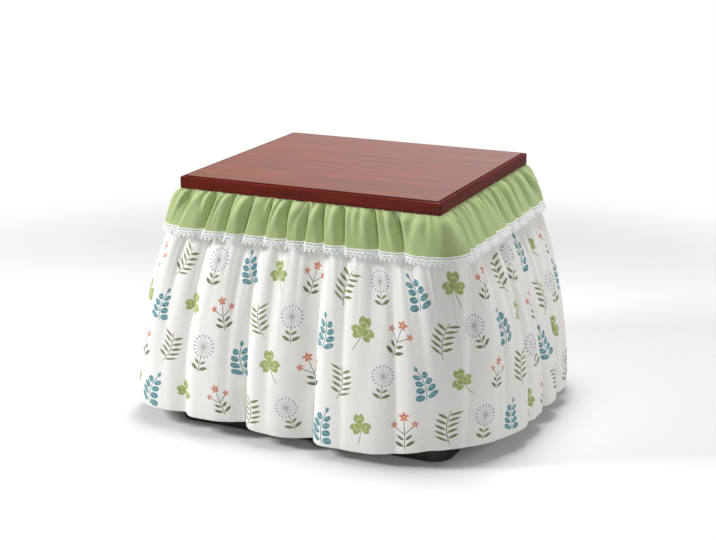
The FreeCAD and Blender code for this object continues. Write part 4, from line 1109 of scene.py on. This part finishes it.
    def make_lace(self) -> bpy.types.Object:
        """The white lace along the frill's lower edge: netting with eyelets over a row of scallops.

        Returns:
            The new piece.
        """
        count = round(self.lace_round / self.lace_pitch)
        tile_points, tile_faces = self.lace_tile()
        per_tile = len(tile_points)
        tiles = np.arange(count)[:, None]
        place = (tiles + tile_points[None, :, 0]) * 4 / count % 4
        hung = tile_points[None, :, 1] * self.lace_drop
        down = 1 + (hung - self.lace_overlap) / self.frill.drop + 0 * place
        points, outward = self.over_skirt(place, down)
        points = points + outward * self.lace_stand_off
        faces = (tile_faces[None] + tiles[:, None] * per_tile).reshape(-1, 4)
        across = (tiles + tile_points[None, :, 0]) * self.lace_pitch
        cloth = np.stack([across, -hung + 0 * across], axis=-1).reshape(-1, 2)
        piece = mesh_piece("lace_edging", points, faces, cloth[faces], LACE_COTTON)
        select_only(piece)
        bpy.ops.object.mode_set(mode="EDIT")
        bpy.ops.mesh.select_all(action="SELECT")
        bpy.ops.mesh.remove_doubles(threshold=self.lace_merge)
        bpy.ops.object.mode_set(mode="OBJECT")
        thicken(piece, self.lace_thickness)
        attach(piece, "frame")
        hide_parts("lace_trim")
        return piece

    def lace_tile(self) -> tuple[Array, Array]:
        """One repeat of the lace, from 0 to 1 across and from 0 to 1 down.

        Returns:
            The points, and the faces of four points each.
        """
        points: list[tuple[float, float]] = []
        faces: list[tuple[int, int, int, int]] = []

        def ring(middle: tuple[float, float], inner: tuple[float, float], outer: list, steps: int) -> None:
            """Joins an oval hole to the outline round it.

            Args:
                middle: The hole's middle.
                inner: Its half width and half height.
                outer: The outline's points, as many as the steps.
                steps: How many points the hole has.
            """
            first = len(points)
            for step in range(steps):
                angle = FULL_TURN * step / steps
                points.append((middle[0] + inner[0] * math.cos(angle),
                               middle[1] + inner[1] * math.sin(angle)))
            points.extend(outer)
            for step in range(steps):
                after = (step + 1) % steps
                faces.append((first + step, first + after, first + steps + after, first + steps + step))

        def square(middle: tuple[float, float], half: tuple[float, float], steps: int) -> list:
            """Points round a box in the order of the hole's own points.

            Args:
                middle: The box's middle.
                half: Its half width and half height.
                steps: How many points.

            Returns:
                The points.
            """
            found = []
            for step in range(steps):
                angle = FULL_TURN * step / steps
                reach = max(abs(math.cos(angle)), abs(math.sin(angle)))
                found.append((middle[0] + half[0] * math.cos(angle) / reach,
                              middle[1] + half[1] * math.sin(angle) / reach))
            return found

        for column in range(3):
            middle = ((column + 0.5) / 3, 0.20)
            ring(middle, (0.105, 0.100), square(middle, (1 / 6, 0.14), 8), 8)
        for upper, lower in ((0.0, 0.06), (0.34, 0.42)):
            first = len(points)
            points.extend((step / 6, level) for level in (upper, lower) for step in range(7))
            faces.extend((first + k, first + 7 + k, first + 8 + k, first + k + 1) for k in range(6))
        fan_steps = 13
        arcs = ((0.18, 0.18), (0.29, 0.30), (0.41, 0.46), (0.49, 0.57))
        first = len(points)
        for wide, deep in arcs:
            for step in range(fan_steps):
                angle = math.pi * step / (fan_steps - 1)
                points.append((0.5 - wide * math.cos(angle), 0.41 + deep * math.sin(angle)))
        for band in (0, 2):
            for k in range(fan_steps - 1):
                low = first + band * fan_steps + k
                faces.append((low, low + fan_steps, low + fan_steps + 1, low + 1))
        for k in range(0, fan_steps - 1, 2):
            low = first + fan_steps + k
            faces.append((low, low + fan_steps, low + fan_steps + 1, low + 1))
        return np.array(points), np.array(faces)

    def make_band(self) -> bpy.types.Object:
        """The heading band: a padded strip round the frame, with rows of stitching.

        Returns:
            The new piece.
        """
        low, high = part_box("heading_band")
        wall, play, corner, steps = self.band_wall, self.band_play, self.band_corner, self.band_steps
        profile = []
        for step in range(steps):
            angle = FULL_TURN * step / steps
            across, up = math.cos(angle), math.sin(angle)
            dent = 0.5 * MM * (abs(up) < 0.6) * (math.cos(3 * math.pi * up) ** 2)
            profile.append((abs(across) ** 0.6 * math.copysign(wall / 2 - dent, across),
                            abs(up) ** 0.6 * math.copysign((high.z - low.z) / 2 - play, up)))
        band = Hanging(half=(high.x - wall / 2 - play, high.y - wall / 2 - play), top=(low.z + high.z) / 2,
                       drop=1.0, flare=(0, 0), corner_top=corner, corner_low=(corner,) * 4,
                       folds={Side.FRONT: (Fold(0.1, 0, 0), Fold(0.6, 0, 0))}, depth_high=0, depth_low=0)
        columns = self.band_columns
        place = np.arange(columns) * 4 / columns
        middle, outward = band.at(place, 0 * place)
        rows = []
        for out, up in profile:
            gather = 0.35 * MM * np.sin(place * 240) * (abs(up) > 3 * MM)
            rows.append(middle + outward * (out + gather[:, None]) + np.array([0, 0, up]))
        points = np.stack(rows)[::-1]
        faces = grid_faces(steps + 1, columns, True) % (steps * columns)
        cloth = np.stack(np.meshgrid(place, np.arange(steps) * 1.6 * MM), axis=-1).reshape(-1, 2)
        piece = mesh_piece("heading_band_cloth", points, faces, cloth[faces], QUILT_COTTON)
        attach(piece, "frame")
        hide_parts("heading_band")
        return piece

    def make_quilt(self) -> bpy.types.Object:
        """The quilt that lies on the frame: two faces sewn together in diamonds over thin padding.

        Returns:
            The new piece.
        """
        low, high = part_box("cover_quilt")
        middle = (low.z + high.z) / 2
        half = (high.z - low.z) / 2
        inset, pitch, columns, rows = self.quilt_inset, self.quilt_pitch, self.quilt_columns, self.quilt_rows
        x = np.linspace(low.x + inset, high.x - inset, columns)
        y = np.linspace(low.y + inset, high.y - inset, rows)
        grid_x, grid_y = np.meshgrid(x, y)
        reach = np.minimum.reduce([grid_x - x[0], x[-1] - grid_x, grid_y - y[0], y[-1] - grid_y])
        rising, falling = math.pi * (grid_x + grid_y) / pitch, math.pi * (grid_x - grid_y) / pitch
        wave = np.abs(np.sin(rising) * np.sin(falling))
        lift = (0.30 + 0.70 * wave**0.4) * (1 - np.exp(-reach / (4 * MM))) * (half - 0.2 * MM)
        top = np.stack([grid_x, grid_y, middle + lift], axis=-1)
        under = np.stack([grid_x, grid_y, middle - lift], axis=-1)
        lower = grid_faces(rows, columns, False)
        edge_top = np.concatenate([np.arange(columns), np.arange(1, rows) * columns + columns - 1,
                                   (rows - 1) * columns + np.arange(columns - 2, -1, -1),
                                   np.arange(rows - 2, 0, -1) * columns])
        after = np.roll(edge_top, -1)
        rim = np.stack([edge_top, edge_top + rows * columns, after + rows * columns, after], axis=-1)
        points = np.concatenate([top.reshape(-1, 3), under.reshape(-1, 3)])
        faces = np.concatenate([lower[:, ::-1], lower + rows * columns, rim])
        piece = mesh_piece("quilt_cloth", points, faces, points[:, :2][faces], QUILT_COTTON)
        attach(piece, "frame")
        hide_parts("cover_quilt")
        return piece


# Mahogany veneer, sprayed with clear gloss lacquer and buffed: broad streaks under a mirror coat. The
# streaks are real ones' width; the pores are drawn about ten times as wide as real ones, so that they show.
# A band along the panel's edge, where it stands above the mouldings, is painted darker as painted shade.
MAHOGANY_LONG = Timber("gloss_lacquered_mahogany", "#7E2616", 0.4, specular=0.0, coat=1.0,
                       coat_roughness=0.03, dark="#48140B", grain=(1.0, 18.0, 18.0), streak=24 * MM,
                       pore=3 * MM, seam=(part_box("top_panel")[1].z - 2.2 * MM, 1.3 * MM))
# Solid mahogany mouldings, stained and lacquered to a satin gloss: darker and redder than the panel, with
# a narrow light along the rounded lip. The same timber twice, because its grain follows each moulding. The
# two are also lit and shaded copies: the side one is painted darker with less coat as painted shade, and
# the front one keeps more coat for a stronger highlight along its lip.
LIT_RAIL_LONG = Timber("lit_satin_mahogany_along_x", "#712015", 0.4, specular=0.0, coat=0.40,
                   coat_roughness=0.08, dark="#521710", grain=(1.0, 26.0, 26.0), streak=7 * MM, pore=0.8 * MM)
SHADED_RAIL_SIDE = Timber("shaded_satin_mahogany_along_y", "#6C2014", 0.4, specular=0.0, coat=0.20,
                   coat_roughness=0.08, dark="#46140D", grain=(26.0, 1.0, 26.0), streak=7 * MM, pore=0.8 * MM)
# Oiled beech, planed: pale warm wood with short brown flecks and hardly any gloss.
BEECH = Timber("oiled_beech", "#C9A06C", 0.55, dark="#A87B48", grain=(14.0, 14.0, 1.0), streak=8 * MM)
# Ash, stained black under thin matt oil: nearly black, with open grain that only a low light shows.
BLACK_TIMBER = Timber("black_stained_ash", "#0D0D10", 0.5, coat=0.1, coat_roughness=0.35, dark="#060607",
                      grain=(1.0, 16.0, 16.0))
# Pine slats, sanded bare: yellow wood with wide soft growth lines.
SLAT_TIMBER = Timber("sanded_pine", "#C79A66", 0.5, dark="#9F7140", grain=(14.0, 1.0, 14.0), streak=10 * MM)
# Steel, pressed or turned and zinc plated: a bluish grey shine, clouded and faintly lined.
ZINC = Rolled("zinc_plated_steel", "#A9ABB0", 0.38, metallic=1.0, grain=0.5 * MM)
# Steel sheet under black stove enamel: an even dark grey with a fine orange peel.
HEATER_ENAMEL = Grained("black_stove_enamel", "#26272A", 0.45, grain=0.7 * MM)
# Aluminium, rolled bright: a near mirror that rolling lines draw out to one side.
BRIGHT_SHEET = Rolled("bright_rolled_aluminium", "#D4D6DA", 0.22, metallic=1.0, grain=0.6 * MM)
# Fused quartz tube, drawn: clear and smooth, with a slight milky warmth.
QUARTZ = Grained("fused_quartz", "#F3EEE6", 0.08, ior=1.46, transmission=0.85, relief=0.005 * MM, mottle=0.01)
# Ceramic core wound with resistance wire: a dull brown grey, ribbed under the finger.
CORE_CERAMIC = Grained("wound_ceramic_core", "#7D6E64", 0.7, grain=0.9 * MM, relief=0.2 * MM)
# Porcelain, pressed and fired without glaze: chalky off-white.
PORCELAIN = Grained("unglazed_porcelain", "#E4DFD4", 0.6, grain=0.6 * MM)
# Steel wire, drawn, welded and nickel plated: bright with sharp lights.
PLATED_WIRE = Rolled("plated_wire", "#C6C8CC", 0.2, metallic=1.0)
# Cast motor shell under grey paint: half matt and slightly mottled.
MOTOR_PAINT = Grained("grey_motor_paint", "#6B6E72", 0.5)
# Aluminium, stamped: grey with blurred lights along the rolling lines.
FAN_SHEET = Rolled("stamped_aluminium", "#B4B7BB", 0.35, metallic=1.0)
# ABS, moulded in a spark-eroded tool: ivory with a fine even grain that softens its gloss.
BOX_PLASTIC = Grained("ivory_moulded_abs", "#DCD8CC", 0.5, ior=1.53, grain=0.9 * MM)
# Phenolic, moulded and polished: glossy black with soft round lights.
DIAL_PLASTIC = Grained("black_moulded_knob", "#141416", 0.25, ior=1.53, grain=1.2 * MM, relief=0.01 * MM)
# Polycarbonate, moulded and polished: a clear red with a hard light along each edge.
ROCKER_PLASTIC = Grained("red_moulded_rocker", "#A8271C", 0.25, ior=1.53, grain=1.2 * MM, relief=0.01 * MM)
# Glass-filled nylon, moulded: black and a little dusty.
SWITCH_PLASTIC = Grained("black_moulded_nylon", "#1B1B1D", 0.45, ior=1.53)
# Acrylic lens, moulded: amber that light passes through, lit very faintly from behind.
LAMP_PLASTIC = Grained("amber_lens", "#E08A2C", 0.15, ior=1.49, transmission=0.4, relief=0.005 * MM,
                       glow=0.15)
# Rubber, moulded or extruded: black, matt and dull at every angle.
RUBBER = Grained("black_rubber", "#1A1A1A", 0.75, ior=1.52, grain=1.0 * MM)
# Cotton, plain woven and piece dyed: soft green, paler in patches and along thick threads, matt.
FRILL_COTTON = Woven("green_cotton", "#A2B578", 0.9, sheen=0.12, fade="#C2D19C", fade_share=0.24)
# Cotton, plain woven and printed: warm white with matt inks that sink in unevenly.
SKIRT_COTTON = Printed("printed_cotton", "#F1EFEB", 0.92, sheen=0.08)
# Cotton lace, knitted and bleached: a cool white with a fuzzy edge.
LACE_COTTON = Woven("white_lace_cotton", "#F4F5F7", 0.9, sheen=0.1, thread=0.9 * MM)
# Cotton over thin wadding, quilted: unbleached, matt, with soft shade along the seams.
QUILT_COTTON = Woven("quilted_cotton", "#E9E4D8", 0.92, sheen=0.1)


@dataclass
class Assembly:
    """Pieces that are right as they are and only need their finish."""

    name: str
    finishes: dict[Finish, tuple[str, ...]]

    def dress(self) -> None:
        """Gives every piece of the assembly its finish."""
        for finish, nodes in self.finishes.items():
            for node in nodes:
                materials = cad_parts[node].data.materials
                materials.clear()
                materials.append(finish.make())
                log.info("%s: %s is %s", self.name, node, finish.name)


ASSEMBLIES = (
    Assembly("table_top", {
        MAHOGANY_LONG: ("top_panel",),
        LIT_RAIL_LONG: ("top_moulding_front", "top_moulding_back"),
        SHADED_RAIL_SIDE: ("top_moulding_left", "top_moulding_right"),
        BEECH: ("top_battens",),
    }),
    Assembly("inner_frame", {
        BEECH: ("leg_front_left", "leg_front_right", "leg_back_left", "leg_back_right", "apron_front",
                "apron_back", "apron_left", "apron_right", "heater_rail_left", "heater_rail_right"),
        ZINC: ("corner_brackets", "bracket_screws", "leg_bolts", "leg_nuts"),
    }),
    Assembly("base", {
        BLACK_TIMBER: ("base_rail_front", "base_rail_back", "base_rail_left", "base_rail_right"),
        SLAT_TIMBER: ("footrest_slats",),
        RUBBER: ("rubber_feet",),
        ZINC: ("foot_screws", "base_bolts"),
    }),
    Assembly("heater", {
        HEATER_ENAMEL: ("heater_housing", "guard_rim"),
        BRIGHT_SHEET: ("reflector",),
        QUARTZ: ("quartz_tubes",),
        CORE_CERAMIC: ("heating_cores", "thermal_cutout"),
        PORCELAIN: ("tube_holders",),
        PLATED_WIRE: ("guard_net",),
        MOTOR_PAINT: ("fan_motor",),
        FAN_SHEET: ("fan_impeller",),
        ZINC: ("fan_shaft", "heater_screws"),
    }),
    Assembly("control_box", {
        BOX_PLASTIC: ("control_case", "control_plate"),
        DIAL_PLASTIC: ("temperature_dial",),
        ROCKER_PLASTIC: ("power_rocker",),
        SWITCH_PLASTIC: ("thermostat", "switch_body", "power_inlet"),
        LAMP_PLASTIC: ("indicator_lamp",),
        ZINC: ("case_screws", "plate_screws"),
        RUBBER: ("heater_lead", "lead_grommets"),
    }),
)


@dataclass
class Studio:
    """A pale floor, soft lamps and the camera at the photograph's viewing angle."""

    focal_pixels: float = 1552.0
    image_width: float = 716.0
    sensor: float = 36.0
    pitch: float = 16.11
    yaw: float = 24.47
    camera_place: tuple[float, float, float] = (1.858, -4.092, 1.715)
    floor_half: float = 4.0
    floor_fade: tuple[float, float] = (1.7, 3.0)
    ambient: str = "#626262"
    warm_wall: str = "#DCB5A2"
    pale_wall: str = "#F9E7E4"
    wall_turn: tuple[float, float] = (-0.6, -0.25)

    def build(self) -> None:
        """Sets up camera, floor, world and lamps."""
        self.make_camera()
        self.make_floor()
        self.make_world()
        self.make_lamp("key", (-3.4, -2.2, 2.3), 1.0, 155.0)
        self.make_lamp("fill", (2.2, -3.7, 1.6), 0.8, 37.0)
        self.make_lamp("side", (3.5, 2.4, 1.5), 1.0, 60.0)
        self.make_lamp("overhead", (0.1, 0.3, 3.2), 1.4, 68.0)
        bpy.context.scene.view_settings.view_transform = "Standard"

    def make_camera(self) -> None:
        """Places the camera that the picture is taken with."""
        data = bpy.data.cameras.new("camera")
        data.sensor_width = self.sensor
        data.lens = self.sensor * self.focal_pixels / self.image_width
        camera = bpy.data.objects.new("camera", data)
        camera.location = self.camera_place
        camera.rotation_euler = (math.radians(90 - self.pitch), 0, math.radians(self.yaw))
        bpy.context.scene.collection.objects.link(camera)
        bpy.context.scene.camera = camera

    def make_floor(self) -> None:
        """A wide white floor that keeps the object's shadow."""
        bpy.ops.object.select_all(action="DESELECT")
        bpy.ops.mesh.primitive_plane_add(size=2 * self.floor_half)
        floor = bpy.context.active_object
        floor.name = "floor"
        material = bpy.data.materials.new("floor_paper")
        material.use_nodes = True
        tree = material.node_tree
        tree.nodes.clear()
        paper = add(tree, "BsdfDiffuse", None, {"Color": linear("#D2D2D2")})
        bright_paper = add(tree, "BsdfDiffuse", None, {"Color": (0.95, 0.95, 0.96, 1.0)})
        seen = add(tree, "LightPath", output="Is Camera Ray")
        floor_shader = add(tree, "MixShader", None, {0: seen, 1: paper, 2: bright_paper})
        place = add(tree, "TexCoord", output="Object")
        away = add(tree, "VectorMath", {"operation": "LENGTH"}, {0: place}, "Value")
        near, far = self.floor_fade
        edge = add(tree, "MapRange", {"interpolation_type": "SMOOTHSTEP"},
                   {"Value": away, "From Min": near, "From Max": far})
        clear = add(tree, "BsdfTransparent")
        result = add(tree, "MixShader", None, {0: edge, 1: floor_shader, 2: clear})
        tree.links.new(result, tree.nodes.new("ShaderNodeOutputMaterial").inputs["Surface"])
        floor.data.materials.append(material)

    def make_world(self) -> None:
        """White where the camera looks, and a plain soft light elsewhere.

        Gloss mirrors a pale room whose left wall is warmer.
        """
        world = bpy.data.worlds.new("studio")
        world.use_nodes = True
        tree = world.node_tree
        tree.nodes.clear()
        rays = add(tree, "LightPath", output="Is Camera Ray").node
        way = add(tree, "SeparateXYZ", None, {0: add(tree, "TexCoord", output="Generated")})
        low, high = self.wall_turn
        turned = add(tree, "MapRange", {"interpolation_type": "SMOOTHSTEP"},
                     {"Value": way, "From Min": low, "From Max": high})
        room = mixed(tree, turned, self.warm_wall, self.pale_wall)
        soft = mixed(tree, rays.outputs["Is Glossy Ray"], self.ambient, room)
        clear = ("MAXIMUM", rays.outputs["Is Camera Ray"], rays.outputs["Is Transmission Ray"])
        result = add(tree, "Background", None, {"Color": mixed(tree, clear, soft, "#FFFFFF")})
        tree.links.new(result, tree.nodes.new("ShaderNodeOutputWorld").inputs["Surface"])
        bpy.context.scene.world = world

    def make_lamp(self, name: str, place: tuple[float, float, float], size: float, power: float) -> None:
        """Adds a square soft lamp that faces the table's middle.

        Args:
            name: The lamp's name.
            place: Where it stands, in metres.
            size: Its side, in metres.
            power: Its power, in watts.
        """
        data = bpy.data.lights.new(name, "AREA")
        data.size, data.energy = size, power
        lamp = bpy.data.objects.new(name, data)
        lamp.location = place
        aim = lamp.location * -1
        aim.z += 0.4
        lamp.rotation_euler = aim.to_track_quat("-Z", "Y").to_euler()
        bpy.context.scene.collection.objects.link(lamp)


def main() -> None:
    """Builds and dresses the whole table, and reports each piece."""
    logging.basicConfig(level=logging.INFO, format="%(name)s: %(message)s")
    bpy.ops.object.select_all(action="DESELECT")
    Studio().build()
    for assembly in ASSEMBLIES:
        assembly.dress()
    for piece in Cover().build():
        log.info("built %s with %d faces", piece.name, len(piece.data.polygons))
    bpy.context.view_layer.update()


if __name__ == "__main__":
    main()
